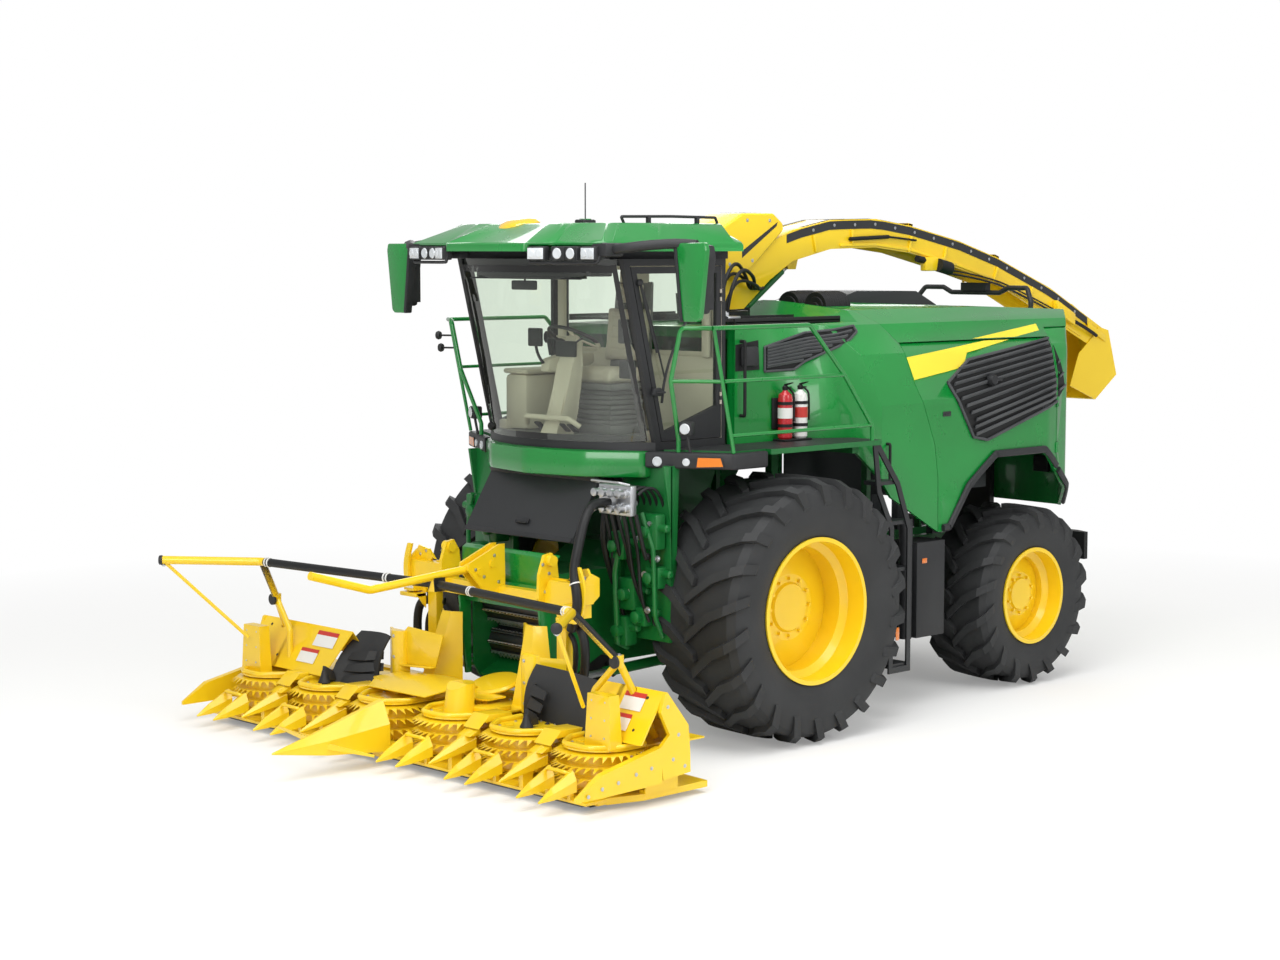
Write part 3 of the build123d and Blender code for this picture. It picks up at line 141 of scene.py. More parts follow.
def bare_metal(name, shade, roughness, grain=40.0):
    """Plated or ground steel: metallic, with rub marks that vary its shine."""
    made, tree, coords = material(name)
    marks = noise(tree, coords, grain, 6.0, Distortion=1.5)
    return surface(made, tree, Base_Color=linear(shade), Metallic=1.0,
                   Roughness=between(tree, marks, roughness - 0.08, roughness + 0.12),
                   Normal=bump(tree, marks, 0.08, 0.0008))


# deep gloss with soft reflections on the body and the cab roof
green_enamel = enamel("green_body_enamel", "#0a8433", "#08792e")
# the same green, duller, on frame parts
green_chassis = enamel("green_chassis_paint", "#0a7230", "#085f27", 0.42, 0.2)
# warm gloss on the header, the rims and the spout
yellow_enamel = enamel("yellow_header_enamel", "#f5d01c", "#ecc414", 0.3, 0.4)
# bright wet gloss on a spun cylinder
red_enamel = enamel("red_extinguisher_enamel", "#c2202a", "#b01822", 0.25, 0.5)
white_enamel = enamel("white_extinguisher_enamel", "#e8e8e4", "#dcdcd8", 0.3, 0.4)
# baked powder: a satin that blurs every reflection, on brackets and covers
charcoal_paint = enamel("charcoal_powder_coat", "#26282a", "#1e2022", 0.45, 0.1)
# grained ABS with a satin shine on trim and housings
black_plastic = moulded("black_moulded_plastic", "#2b2c2e", "#232426", 0.5, 900.0, 0.0004)
# filled nylon, a little lighter, so that the louvres stand out from the painted shade of the sheets behind
# them
grille_plastic = moulded("grey_grille_plastic", "#4c4e50", "#3e4042", 0.42, 900.0, 0.0003)
# sheet steel under a dry black primer, almost without shine; the same black is also painted shade on the
# sheets behind the louvres and in the vent slots
matt_black = moulded("matt_black_steel_and_painted_shade", "#161718", "#101112", 0.62, 500.0, 0.0003)
# vulcanised rubber, dry and dark, with a coarse grain on the tread
tread_rubber = moulded("tyre_tread_rubber", "#343536", "#2a2b2c", 0.62, 420.0, 0.0008, 0.35)
# rubber on fabric, whose weave shows as a pitted face; coarser than real, so that it shows
sheet_rubber = moulded("reinforced_sheet_rubber", "#2c2d2e", "#242526", 0.6, 300.0, 0.0006)
# smooth wrapped hose cover with a narrow highlight
hose_rubber = moulded("hydraulic_hose_rubber", "#1a1b1c", "#141516", 0.5, 700.0, 0.0004)
# soft grey polypropylene inside the cab
trim_plastic = moulded("grey_cab_trim", "#6f6f6e", "#636362", 0.6, 900.0, 0.0003)
# zinc plating: pale, with rub marks that break its shine
zinc_steel = bare_metal("zinc_plated_steel", "#c9cbce", 0.34)


# ---- light, floor and camera ----
def straight_rays(tree):
    """One for what the camera sees, also through glass, and nothing for what lights the model."""
    rays = add(tree, "ShaderNodeLightPath").outputs
    return add(tree, "ShaderNodeMath", {"operation": "MAXIMUM"}, i0=rays["Is Camera Ray"],
               i1=rays["Is Transmission Ray"]).outputs[0]


def studio_world():
    """A world that looks white and lights the model more softly."""
    world = bpy.data.worlds.new("studio")
    scene.world = world
    world.use_nodes = True
    tree = world.node_tree
    tree.nodes.clear()
    white = add(tree, "ShaderNodeBackground", Color=(1, 1, 1, 1), Strength=1.0)
    level = add(tree, "ShaderNodeBackground", Color=(1, 1, 1, 1), Strength=0.55)
    both = add(tree, "ShaderNodeMixShader", i0=straight_rays(tree), i1=level.outputs[0], i2=white.outputs[0])
    add(tree, "ShaderNodeOutputWorld", Surface=both.outputs[0])


def softboxes():
    """Four square area lamps that look at the machine."""
    for name, place, aim, size, power in (
            ("top_softbox", (3.0, -3.0, 11.0), (0, 0, 1.5), 9.0, 900.0),
            ("front_softbox", (6.0, -13.0, 7.0), (0, -2, 1.2), 6.0, 620.0),
            ("left_softbox", (13.0, 1.0, 7.5), (0, 0, 1.5), 6.0, 420.0),
            ("back_softbox", (-9.0, 8.0, 8.0), (0, 0, 2.0), 7.0, 420.0)):
        lamp = bpy.data.lights.new(name, "AREA")
        lamp.energy, lamp.size = power, size
        made = bpy.data.objects.new(name, lamp)
        scene.collection.objects.link(made)
        made.location = place
        made.rotation_euler = (Vector(aim) - Vector(place)).to_track_quat("-Z", "Y").to_euler()


def studio_floor():
    """A pale matt floor that fades into the white world away from the machine."""
    floor, tree, coords = material("studio_floor")
    away = add(tree, "ShaderNodeVectorMath", {"operation": "LENGTH"}, i0=coords).outputs["Value"]
    fade = add(tree, "ShaderNodeMapRange", Value=away, From_Min=5.5, From_Max=11.0, To_Min=0.25,
               To_Max=1.0).outputs[0]
    part = add(tree, "ShaderNodeMath", {"operation": "MULTIPLY"}, i0=fade, i1=straight_rays(tree)).outputs[0]
    matt = add(tree, "ShaderNodeBsdfDiffuse", Color=linear("#f2f2f0"))
    glow = add(tree, "ShaderNodeEmission", Color=(1, 1, 1, 1), Strength=1.0)
    both = add(tree, "ShaderNodeMixShader", i0=part, i1=matt.outputs[0], i2=glow.outputs[0])
    add(tree, "ShaderNodeOutputMaterial", Surface=both.outputs[0])
    mesh = bpy.data.meshes.new("floor")
    half = 60.0
    corners = [(-half, -half, 0), (half, -half, 0), (half, half, 0), (-half, half, 0)]
    mesh.from_pydata(corners, [], [(0, 1, 2, 3)])
    mesh.materials.append(floor)
    plane = bpy.data.objects.new("floor", mesh)
    scene.collection.objects.link(plane)


def view():
    """The camera's place, lens and aim."""
    lens = bpy.data.cameras.new("camera")
    lens.sensor_width, lens.lens = 36.0, 66.22
    lens.clip_end = 200.0
    camera = bpy.data.objects.new("camera", lens)
    scene.collection.objects.link(camera)
    camera.location = (13.249, -14.0155, 3.674)
    camera.rotation_euler = (radians(90 - 5.611), 0, radians(46.206))
    scene.camera = camera


scene.view_settings.view_transform = "Standard"
studio_world()
softboxes()
studio_floor()
view()


# ---- mesh tools: every place below is measured from the front axle line ----
pieces = {}


def place(made, body, *finishes, angle=35.0):
    """Link a mesh as a piece with its finishes, smooth below the angle, riding on a body."""
    for finish in finishes:
        made.data.materials.append(finish)
    made.data.shade_smooth()
    made.data.set_sharp_from_angle(angle=radians(angle))
    if made.name not in scene.collection.objects:
        scene.collection.objects.link(made)
    if body:
        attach(made, body)
    pieces[made.name] = made
    return made


def mesh_of(name, bm):
    """What was drawn, as a mesh."""
    mesh = bpy.data.meshes.new(name)
    bm.to_mesh(mesh)
    bm.free()
    return mesh


def applied(drawn):
    """A plain mesh of an object as its modifiers leave it."""
    return bpy.data.meshes.new_from_object(drawn.evaluated_get(bpy.context.evaluated_depsgraph_get()))


def into_frame(bm):
    """Move what was drawn from the axle line into the shared frame."""
    bmesh.ops.translate(bm, verts=bm.verts, vec=(0, AXLE_Y, 0))
    bmesh.ops.recalc_face_normals(bm, faces=bm.faces)


def piece(name, bm, body, *finishes, angle=35.0):
    """A mesh drawn from the axle line becomes a piece in the shared frame."""
    into_frame(bm)
    return place(bpy.data.objects.new(name, mesh_of(name, bm)), body, *finishes, angle=angle)


def walled(bm, low, high, index):
    """Close two like loops of points into a solid; gives its faces."""
    ends = [[bm.verts.new(p) for p in low], [bm.verts.new(p) for p in high]]
    faces = [bm.faces.new(ends[0]), bm.faces.new(ends[1][::-1])]
    for i in range(len(low)):
        j = (i + 1) % len(low)
        faces.append(bm.faces.new((ends[0][i], ends[0][j], ends[1][j], ends[1][i])))
    for face in faces:
        face.material_index = index
    return faces


AXES = {"x": lambda p, t: (t, *p), "y": lambda p, t: (p[0], t, p[1]), "z": lambda p, t: (*p, t)}


def prism(bm, points, axis, low, high, edge=0.0, index=0, segments=2):
    """An outline in the two other axes, drawn out along an axis, with its edges rounded."""
    faces = walled(bm, *([AXES[axis](p, t) for p in points] for t in (low, high)), index)
    if edge:
        bmesh.ops.bevel(bm, geom=list({e for f in faces for e in f.edges}), offset=edge, segments=segments,
                        profile=0.5, affect="EDGES", clamp_overlap=True, material=-1)


def slab(bm, x0, x1, y0, y1, z0, z1, edge=0.004, index=0):
    """A box with rounded edges between these x, y and z limits."""
    prism(bm, [(x0, y0), (x1, y0), (x1, y1), (x0, y1)], "z", z0, z1, edge, index)


def turned(bm, profile, origin, axis, steps=32, index=0):
    """A (radius, distance) profile turned round an axis; ends of no radius are closed to a point."""
    turn = Vector(axis).to_track_quat("Z", "Y").to_matrix()

    def spot(radius, along, k):
        around = 2 * pi * k / steps
        return bm.verts.new(Vector(origin) + turn @ Vector((radius * cos(around), radius * sin(around),
                along)))

    rings = [[spot(radius, along, k) for k in range(steps if radius > 1e-6 else 1)] for radius,
             along in profile]
    for one, two in zip(rings, rings[1:]):
        for k in range(steps):
            j = (k + 1) % steps
            loop = [one[k % len(one)], one[j % len(one)], two[j % len(two)], two[k % len(two)]]
            face = bm.faces.new([v for i, v in enumerate(loop) if v not in loop[:i]])
            face.material_index = index
    for ring, turned_over in ((rings[0], True), (rings[-1], False)):
        if len(ring) > 1:
            bm.faces.new(ring[::-1] if turned_over else ring).material_index = index


def strand(points, radius, sides=3):
    """A round hose or bent bar as a mesh: a smooth spline with these points as its control points."""
    curve = bpy.data.curves.new("strand", "CURVE")
    curve.dimensions, curve.use_fill_caps, curve.resolution_u = "3D", True, 8
    curve.bevel_depth, curve.bevel_resolution = radius, sides
    spline = curve.splines.new("NURBS")
    spline.points.add(len(points) - 1)
    for spot, point in zip(spline.points, points):
        spot.co = (*point, 1.0)
    spline.order_u, spline.use_endpoint_u = min(3, len(points)), True
    drawn = bpy.data.objects.new("strand", curve)
    mesh = bpy.data.meshes.new_from_object(drawn)
    bpy.data.objects.remove(drawn)
    bpy.data.curves.remove(curve)
    return mesh


def tube(bm, points, radius, index=0, sides=3):
    """A round bar or hose drawn into a form."""
    mesh = strand(points, radius, sides)
    before = len(bm.faces)
    bm.from_mesh(mesh)
    bm.faces.ensure_lookup_table()
    for face in bm.faces[before:]:
        face.material_index = index
    bpy.data.meshes.remove(mesh)


def rail(points, bend):
    """Points of a bent bar: three points at each corner make the spline turn with this bend."""
    out = [Vector(points[0])]
    for a, b, c in zip(points, points[1:], points[2:]):
        a, b, c = Vector(a), Vector(b), Vector(c)
        one, two = min(bend, (a - b).length / 2.2), min(bend, (c - b).length / 2.2)
        out += [b + (a - b).normalized() * one, b, b + (c - b).normalized() * two]
    return out + [Vector(points[-1])]


def mirrored_x(bm):
    """Add a copy of everything drawn so far, mirrored to the machine's right."""
    made = bmesh.ops.duplicate(bm, geom=bm.verts[:] + bm.edges[:] + bm.faces[:])["geom"]
    verts = [g for g in made if isinstance(g, bmesh.types.BMVert)]
    bmesh.ops.scale(bm, verts=verts, vec=(-1, 1, 1))
    bmesh.ops.reverse_faces(bm, faces=[g for g in made if isinstance(g, bmesh.types.BMFace)])


def to_side(bm, side):
    """Turn what was drawn on the left over to the right, for side -1."""
    bmesh.ops.scale(bm, verts=bm.verts, vec=(side, 1, 1))


# ---- geometry node trees for what repeats ----
def tree_with(name, **sockets):
    """A geometry tree with its number inputs and a Finish; gives the tree, its input node's outputs and each
    input's identifier."""
    tree = bpy.data.node_groups.new(name, "GeometryNodeTree")
    tree.interface.new_socket("Geometry", in_out="INPUT", socket_type="NodeSocketGeometry")
    tree.interface.new_socket("Geometry", in_out="OUTPUT", socket_type="NodeSocketGeometry")
    identifiers = {}
    for label, value in sockets.items():
        kind = "NodeSocketInt" if isinstance(value, int) else "NodeSocketFloat"
        socket = tree.interface.new_socket(label, in_out="INPUT", socket_type=kind)
        socket.default_value = value
        identifiers[label] = socket.identifier
    finish = tree.interface.new_socket("Finish", in_out="INPUT", socket_type="NodeSocketMaterial")
    identifiers["Finish"] = finish.identifier
    return tree, add(tree, "NodeGroupInput").outputs, identifiers


def scaled(tree, value, share):
    return add(tree, "ShaderNodeMath", {"operation": "MULTIPLY"}, i0=value, i1=share).outputs[0]


def direction(tree, label, axis, **more):
    """The turn that lays an axis along a direction kept on the points."""
    stored = add(tree, "GeometryNodeInputNamedAttribute", {"data_type": "FLOAT_VECTOR"},
                 Name=label).outputs[0]
    pivot = {"pivot_axis": "Z"} if more else {}
    return add(tree, "FunctionNodeAlignRotationToVector", {"axis": axis, **pivot}, Vector=stored,
               **more).outputs[0]


def finished(tree, given, shape):
    """Give a shape its finish and hand it to the tree's output."""
    done = add(tree, "GeometryNodeSetMaterial", Geometry=shape, Material=given["Finish"])
    add(tree, "NodeGroupOutput", Geometry=done.outputs[0])


def at_points(tree, given, shape, turn):
    """Real copies of a shape at the drawn points."""
    laid = add(tree, "GeometryNodeInstanceOnPoints", Points=given["Geometry"], Instance=shape, Rotation=turn)
    real = add(tree, "GeometryNodeRealizeInstances", Geometry=laid.outputs[0])
    finished(tree, given, real.outputs[0])


def rounded_outline(tree, given, width, height):
    rim = add(tree, "GeometryNodeCurvePrimitiveQuadrilateral", Width=given[width], Height=given[height])
    return add(tree, "GeometryNodeFilletCurve", Curve=rim.outputs[0], Radius=given["Corner"]).outputs[0]


def fastener_tree():
    """A chamfered head on a washer at each point, standing along the point's own direction."""
    tree, given, names = tree_with("fasteners", Sides=6, Radius=0.01, Height=0.008)
    head = add(tree, "GeometryNodeMeshCone", Vertices=given["Sides"], Depth=given["Height"],
               Radius_Top=scaled(tree, given["Radius"], 0.82), Radius_Bottom=given["Radius"]).outputs["Mesh"]
    wide = scaled(tree, given["Radius"], 1.5)
    washer = add(tree, "GeometryNodeMeshCone", Vertices=16, Radius_Top=wide, Radius_Bottom=wide,
                 Depth=scaled(tree, given["Height"], 0.25)).outputs["Mesh"]
    both = add(tree, "GeometryNodeJoinGeometry")
    for shape in (head, washer):
        tree.links.new(shape, both.inputs[0])
    at_points(tree, given, both.outputs[0], direction(tree, "facing", "Z"))
    return tree, names


def bar_tree():
    """A bar with rounded corners along every drawn edge, for slats, wires and frames."""
    tree, given, names = tree_with("bars", Width=0.02, Height=0.02, Corner=0.003, Tilt=0.0)
    line = add(tree, "GeometryNodeMeshToCurve", Mesh=given["Geometry"]).outputs[0]
    level = add(tree, "GeometryNodeSetCurveNormal", {"mode": "Z_UP"}, Curve=line).outputs[0]
    tilted = add(tree, "GeometryNodeSetCurveTilt", Curve=level, Tilt=given["Tilt"]).outputs[0]
    drawn = add(tree, "GeometryNodeCurveToMesh", Curve=tilted, Fill_Caps=True,
                Profile_Curve=rounded_outline(tree, given, "Width", "Height"))
    finished(tree, given, drawn.outputs[0])
    return tree, names


def plate_tree():
    """A thin plate with round ends at each point, lying square to its direction, for raised slots, and for
    painted shade where slots and holes open.
    """
    tree, given, names = tree_with("plates", Length=0.04, Width=0.01, Corner=0.005, Depth=0.001)
    filled = add(tree, "GeometryNodeFillCurve", Curve=rounded_outline(tree, given, "Length", "Width"))
    up = add(tree, "ShaderNodeCombineXYZ", Z=1.0).outputs[0]
    solid = add(tree, "GeometryNodeExtrudeMesh", Mesh=filled.outputs[0], Offset=up,
                Offset_Scale=given["Depth"], Individual=False).outputs[0]
    facing = direction(tree, "facing", "Z")
    at_points(tree, given, solid, direction(tree, "along", "X", Rotation=facing))
    return tree, names


TREES = {"fasteners": fastener_tree(), "bars": bar_tree(), "plates": plate_tree()}


def repeated(kind, name, body, finish, points, edges=(), angle=35.0, **values):
    """Run a tree on drawn points or edges and keep its result as a plain piece. A point may carry the ways it
    faces and lies after its place."""
    tree, names = TREES[kind]
    mesh = bpy.data.meshes.new(name)
    mesh.from_pydata([Vector(p[:3]) + Vector((0, AXLE_Y, 0)) for p in points], list(edges), [])
    for label, start in (("facing", 3), ("along", 6)):
        if len(points[0]) >= start + 3:
            stored = mesh.attributes.new(label, "FLOAT_VECTOR", "POINT")
            stored.data.foreach_set("vector", [c for p in points for c in p[start:start + 3]])
    drawn = bpy.data.objects.new(name, mesh)
    scene.collection.objects.link(drawn)
    modifier = drawn.modifiers.new("repeat", "NODES")
    modifier.node_group = tree
    modifier[names["Finish"]] = finish
    for label, value in values.items():
        modifier[names[label]] = value
    drawn.update_tag()
    result = applied(drawn)
    drawn.modifiers.clear()
    drawn.data = result
    result.materials.clear()
    for label in ("facing", "along"):
        if label in result.attributes:
            result.attributes.remove(result.attributes[label])
    return place(drawn, body, finish, angle=angle)


def bars(name, body, finish, lines, width, height, corner=0.003, tilt=0.0):
    """Bars along lines of points."""
    points, edges = [], []
    for line in lines:
        edges += [(len(points) + i, len(points) + i + 1) for i in range(len(line) - 1)]
        points += [tuple(p) for p in line]
    return repeated("bars", name, body, finish, points, edges, Width=width, Height=height, Corner=corner,
                    Tilt=tilt)


def bolts(name, body, finish, places, radius=0.01, height=0.008, sides=6):
    return repeated("fasteners", name, body, finish, places, Radius=radius, Height=height, Sides=sides)


def both_sides(places):
    """Places on the left with their twins on the right; a direction's x turns round too."""
    return places + [tuple(-v if i % 3 == 0 else v for i, v in enumerate(p)) for p in places]


# ---- finishes of the CAD nodes ----
def by_rules(face, centre, rules):
    """Give a face the finish of the last rule whose test of its centre and normal holds."""
    face.material_index = 0
    for i, (_, test) in enumerate(rules):
        if test(Vector((centre.x, centre.y - AXLE_Y, centre.z)), face.normal):
            face.material_index = i + 1


def paint(names, base, *rules):
    """Give nodes a finish; a rule is (finish, test of a face's centre from the axle line and normal)."""
    for name in names.split():
        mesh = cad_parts[name].data
        mesh.materials.clear()
        for finish in (base, *[rule[0] for rule in rules]):
            mesh.materials.append(finish)
        for face in mesh.polygons:
            by_rules(face, face.center, rules)


def softened(name, node, body, finish, ridge=0.04, edge=0.004, area=0.012, rules=()):
    """A pressed panel for a CAD node: its broad folds turn in soft curves, its cut edges are rounded."""
    bm = bmesh.new()
    bm.from_mesh(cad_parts[node].data)
    bmesh.ops.remove_doubles(bm, verts=bm.verts, dist=2e-5)
    bmesh.ops.dissolve_limit(bm, angle_limit=radians(0.7), verts=bm.verts, edges=bm.edges)

    def rounded(width, segments, test):
        found = [e for e in bm.edges if len(e.link_faces) == 2 and e.is_convex
                 and test(degrees(e.calc_face_angle(0)), e)]
        bmesh.ops.bevel(bm, geom=found, offset=width, segments=segments, profile=0.5, affect="EDGES",
                        clamp_overlap=True)

    if ridge:
        rounded(ridge, 5, lambda fold, e: 6.0 < fold < 75.0
                and min(f.calc_area() for f in e.link_faces) > area)
    rounded(edge, 2, lambda fold, e: fold > 38.0)
    for face in bm.faces:
        by_rules(face, face.calc_center_median(), rules)
    made = place(bpy.data.objects.new(name, mesh_of(name, bm)), body, finish, *[rule[0] for rule in rules],
                 angle=28.0)
    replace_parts(made, node)


def pane_glass(name, tint, clearness):
    """Thin, slightly green laminated glass with a sheen on its outer faces at grazing angles."""
    made, tree, _ = material(name)
    see = add(tree, "ShaderNodeBsdfTransparent", Color=linear(tint))
    gloss = add(tree, "ShaderNodeBsdfGlossy", Color=(1, 1, 1, 1), Roughness=0.02)
    facing = add(tree, "ShaderNodeFresnel", IOR=1.45).outputs[0]
    share = add(tree, "ShaderNodeMapRange", Value=facing, From_Max=1.0, To_Min=1.0 - clearness,
                To_Max=0.95).outputs[0]
    inner = add(tree, "ShaderNodeNewGeometry").outputs["Backfacing"]
    outer = add(tree, "ShaderNodeMath", {"operation": "SUBTRACT"}, i0=1.0, i1=inner).outputs[0]
    share = add(tree, "ShaderNodeMath", {"operation": "MULTIPLY"}, i0=share, i1=outer).outputs[0]
    mix = add(tree, "ShaderNodeMixShader", i0=share, i1=see.outputs[0], i2=gloss.outputs[0])
    add(tree, "ShaderNodeOutputMaterial", Surface=mix.outputs[0])
    return made


# laminated glass: clear, with a faint green and a sheen near its edges
clear_glass = pane_glass("clear_laminated_glass", "#f6faf5", 0.975)
# silvered facets behind a clear polycarbonate lens
lamp_lens = enamel("lamp_reflector_clear", "#d9dde0", "#c3c8cc", 0.12, 1.0)
# moulded polycarbonate, deep orange and wet-looking
amber_lens = enamel("amber_lamp_lens", "#f28a1c", "#d96f0c", 0.15, 1.0)
beacon_lens = enamel("yellow_dome_lens", "#f2c21a", "#dda90f", 0.18, 1.0)
# polished ABS: sharp dark reflections
black_gloss = moulded("black_gloss_moulding", "#161718", "#101112", 0.22, 300.0, 0.0001, 0.5)
# soft-touch foamed PVC over the panels, no shine
beige_trim = moulded("beige_cab_trim", "#cdc4b4", "#c1b8a8", 0.62, 900.0, 0.0003)
# cast vinyl film, smooth over the enamel
stripe_yellow = enamel("yellow_stripe_film", "#f3df35", "#ecd52c", 0.3, 0.4)
# cast rolls, dark and worn bright in streaks
dark_roll = bare_metal("dark_roll_steel", "#55585a", 0.42)
# silvered glass: a near mirror
mirror_silver = bare_metal("silvered_mirror_glass", "#e8ecef", 0.04)


def dress():
    """Finishes of every CAD node, and the pressed panels that stand for some of them."""
    for names in ("main_frame body_frame cutterhead_housing feed_housing",
                  "front_axle rear_axle knuckle_left knuckle_right tie_rod"):
        paint(names, green_chassis, (matt_black, lambda c, n: c.y > 3.95 or (c.z < 0.95 and c.y > 1.2)))
    paint("handrails", green_enamel)
    paint("front_rim_left front_rim_right rear_rim_left rear_rim_right", yellow_enamel)
    paint("front_tyre_left front_tyre_right rear_tyre_left rear_tyre_right", tread_rubber)
    paint("header_frame row_points coupling_frame drum_covers end_shields", yellow_enamel)
    paint("upper_feed_roll lower_feed_roll engine_block", dark_roll)
    paint("front_shield", charcoal_paint)
    paint("platforms", green_chassis,
          (charcoal_paint, lambda c, n: c.x > 0.98 and c.y > 0.8 and c.z < 2.16),
          (black_plastic, lambda c, n: n.z > 0.9 and c.z > 2.2))
    paint("lift_ram_barrels spout_ram_barrel", green_chassis)
    paint("lift_ram_rods spout_ram_rod", zinc_steel)
    paint("spout_turret", matt_black)
    paint("spout_cradle", black_plastic)
    paint("spout_flap", yellow_enamel)
    paint("cab_glass door_glass_left", clear_glass)
    paint("cab_frame", black_plastic, (beige_trim, lambda c, n: c.y > -0.26 and n.y < -0.5),
          (trim_plastic, lambda c, n: n.z > 0.9 and c.z < 2.3))
    paint("cab_door_left", black_plastic)
    paint("steering_column", beige_trim,
          (black_plastic, lambda c, n: c.z > 2.965 and Vector((c.x, c.y + 0.89)).length > 0.15))
    softened("front_body_panels", "front_body", "chassis", green_enamel, ridge=0.07)
    softened("rear_hood_panels", "rear_hood", "chassis", green_enamel, ridge=0.07,
             rules=((charcoal_paint, lambda c, n: abs(c.x) < 0.34 and c.z > 3.2),))
    softened("rear_end_panels", "rear_panel", "chassis", green_enamel, ridge=0.06)
    for side in ("left", "right"):
        softened(f"side_door_panel_{side}", f"side_door_{side}", f"side_door_{side}", green_enamel,
                 ridge=0.06)
    softened("roof_panel", "cab_roof", "chassis", green_enamel, ridge=0.035, edge=0.008, area=0.004,
             rules=((black_plastic, lambda c, n: c.z < 3.657 or (c.z > 3.9)
                     or (c.z < 3.702 and n.z < -0.9)),))
    softened("nose_pressing", "nose_panel", "chassis", green_enamel, ridge=0.05, edge=0.03)
    softened("bumper_mouldings", "bumper", "chassis", black_plastic, ridge=0.03, edge=0.015)
    softened("mirror_housings", "mirrors", "chassis", black_plastic, ridge=0, edge=0.012,
             rules=((green_enamel, lambda c, n: n.y < -0.5 and c.z < 3.68 and abs(c.x) > 1.53),
                    (mirror_silver, lambda c, n: n.y > 0.9 and abs(c.x) > 1.53)))
    softened("side_box_covers", "side_boxes", "chassis", black_plastic, ridge=0.03, edge=0.008)
    softened("spout_chute_panels", "spout_chute", "spout", yellow_enamel, ridge=0, edge=0.006)
    softened("spout_cover", "spout_hood", "spout", yellow_enamel, ridge=0, edge=0.004)


dress()


# ---- header ----
# blank printed films: flat white, and a red band
white_film = enamel("white_label_film", "#e9e9e5", "#dededa", 0.4, 0.2)
red_film = enamel("red_label_film", "#c8362e", "#bb2f28", 0.4, 0.2)
COVER_TOP = 0.384                                   # top of the drum covers
# folds of the end decks
RIDGE_FRONT, RIDGE_TOP, RIDGE_BACK = (-2.372, 0.424), (-2.152, 0.757), (-1.98, 0.545)
DRUM_X = [-1.875, -1.125, -0.375, 0.375, 1.125, 1.875]
DRUM_Y = -2.35


def panel(bm, points, thick, index=0):
    """A flat sheet through three or more points, thickened along its own normal."""
    spots = [Vector(p) for p in points]
    normal = (spots[1] - spots[0]).cross(spots[2] - spots[0]).normalized() * thick
    walled(bm, spots, [p + normal for p in spots], index)


def skin(bm, rows, thick, index=0):
    """A curved sheet through rows of points, closed with an inner skin and edges."""
    grid = [[bm.verts.new(Vector(p)) for p in row] for row in rows]
    faces = [bm.faces.new((grid[i][j], grid[i][j + 1], grid[i + 1][j + 1], grid[i + 1][j]))
             for i in range(len(rows) - 1) for j in range(len(rows[0]) - 1)]
    bmesh.ops.recalc_face_normals(bm, faces=faces)
    made = bmesh.ops.solidify(bm, geom=faces, thickness=thick)["geom"]
    for face in faces + [g for g in made if isinstance(g, bmesh.types.BMFace)]:
        face.material_index = index


def rubber_skirts():
    """Reinforced rubber skirts that hang in curves between the crop posts and the end decks, with laps."""
    bm = bmesh.new()
    for s, reach in ((1, 1.68), (-1, 1.2)):
        rows = []
        for t in (k / 6 for k in range(7)):
            row = []
            for u in (k / 8 for k in range(9)):
                y = -2.02 + 0.05 * sin(pi * u) - t * (0.12 + 0.2 * u) - 0.04 * sin(pi * t)
                z = 0.745 - t * 0.36 + 0.02 * sin(pi * t) - 0.06 * u * (s > 0)
                row.append((s * (0.84 + u * (reach - 0.84)), y, z))
            rows.append(row)
        skin(bm, rows, 0.012)
        for k in range(3):
            y, z = -2.0 + 0.02 * k, 0.41 + 0.085 * k
            upper = [(0.84 + 0.02 * k, y - 0.09, z + 0.045), (0.95, y - 0.2 + 0.01 * k, z + 0.05),
                     (1.12, y - 0.25 + 0.02 * k, z + 0.02)]
            lower = [(0.82 + 0.02 * k, y - 0.11, z - 0.01), (0.95, y - 0.24 + 0.01 * k, z - 0.02),
                     (1.13, y - 0.29 + 0.02 * k, z - 0.03)]
            skin(bm, [[(s * x, y, z) for x, y, z in row] for row in (upper, lower)], 0.01)
    piece("rubber_skirts", bm, "header", sheet_rubber)
    bm = bmesh.new()
    turned(bm, [(0, 0), (0.045, 0), (0.048, 0.012), (0.03, 0.05), (0.016, 0.1), (0, 0.1)],
           (1.17, -2.4, COVER_TOP), UP, 20)
    prism(bm, [(-2.42, 0.4), (-2.3, 0.4), (-2.32, 0.47), (-2.4, 0.52)], "x", 1.15, 1.19, 0.006)
    mirrored_x(bm)
    piece("skirt_pivots", bm, "header", black_plastic)


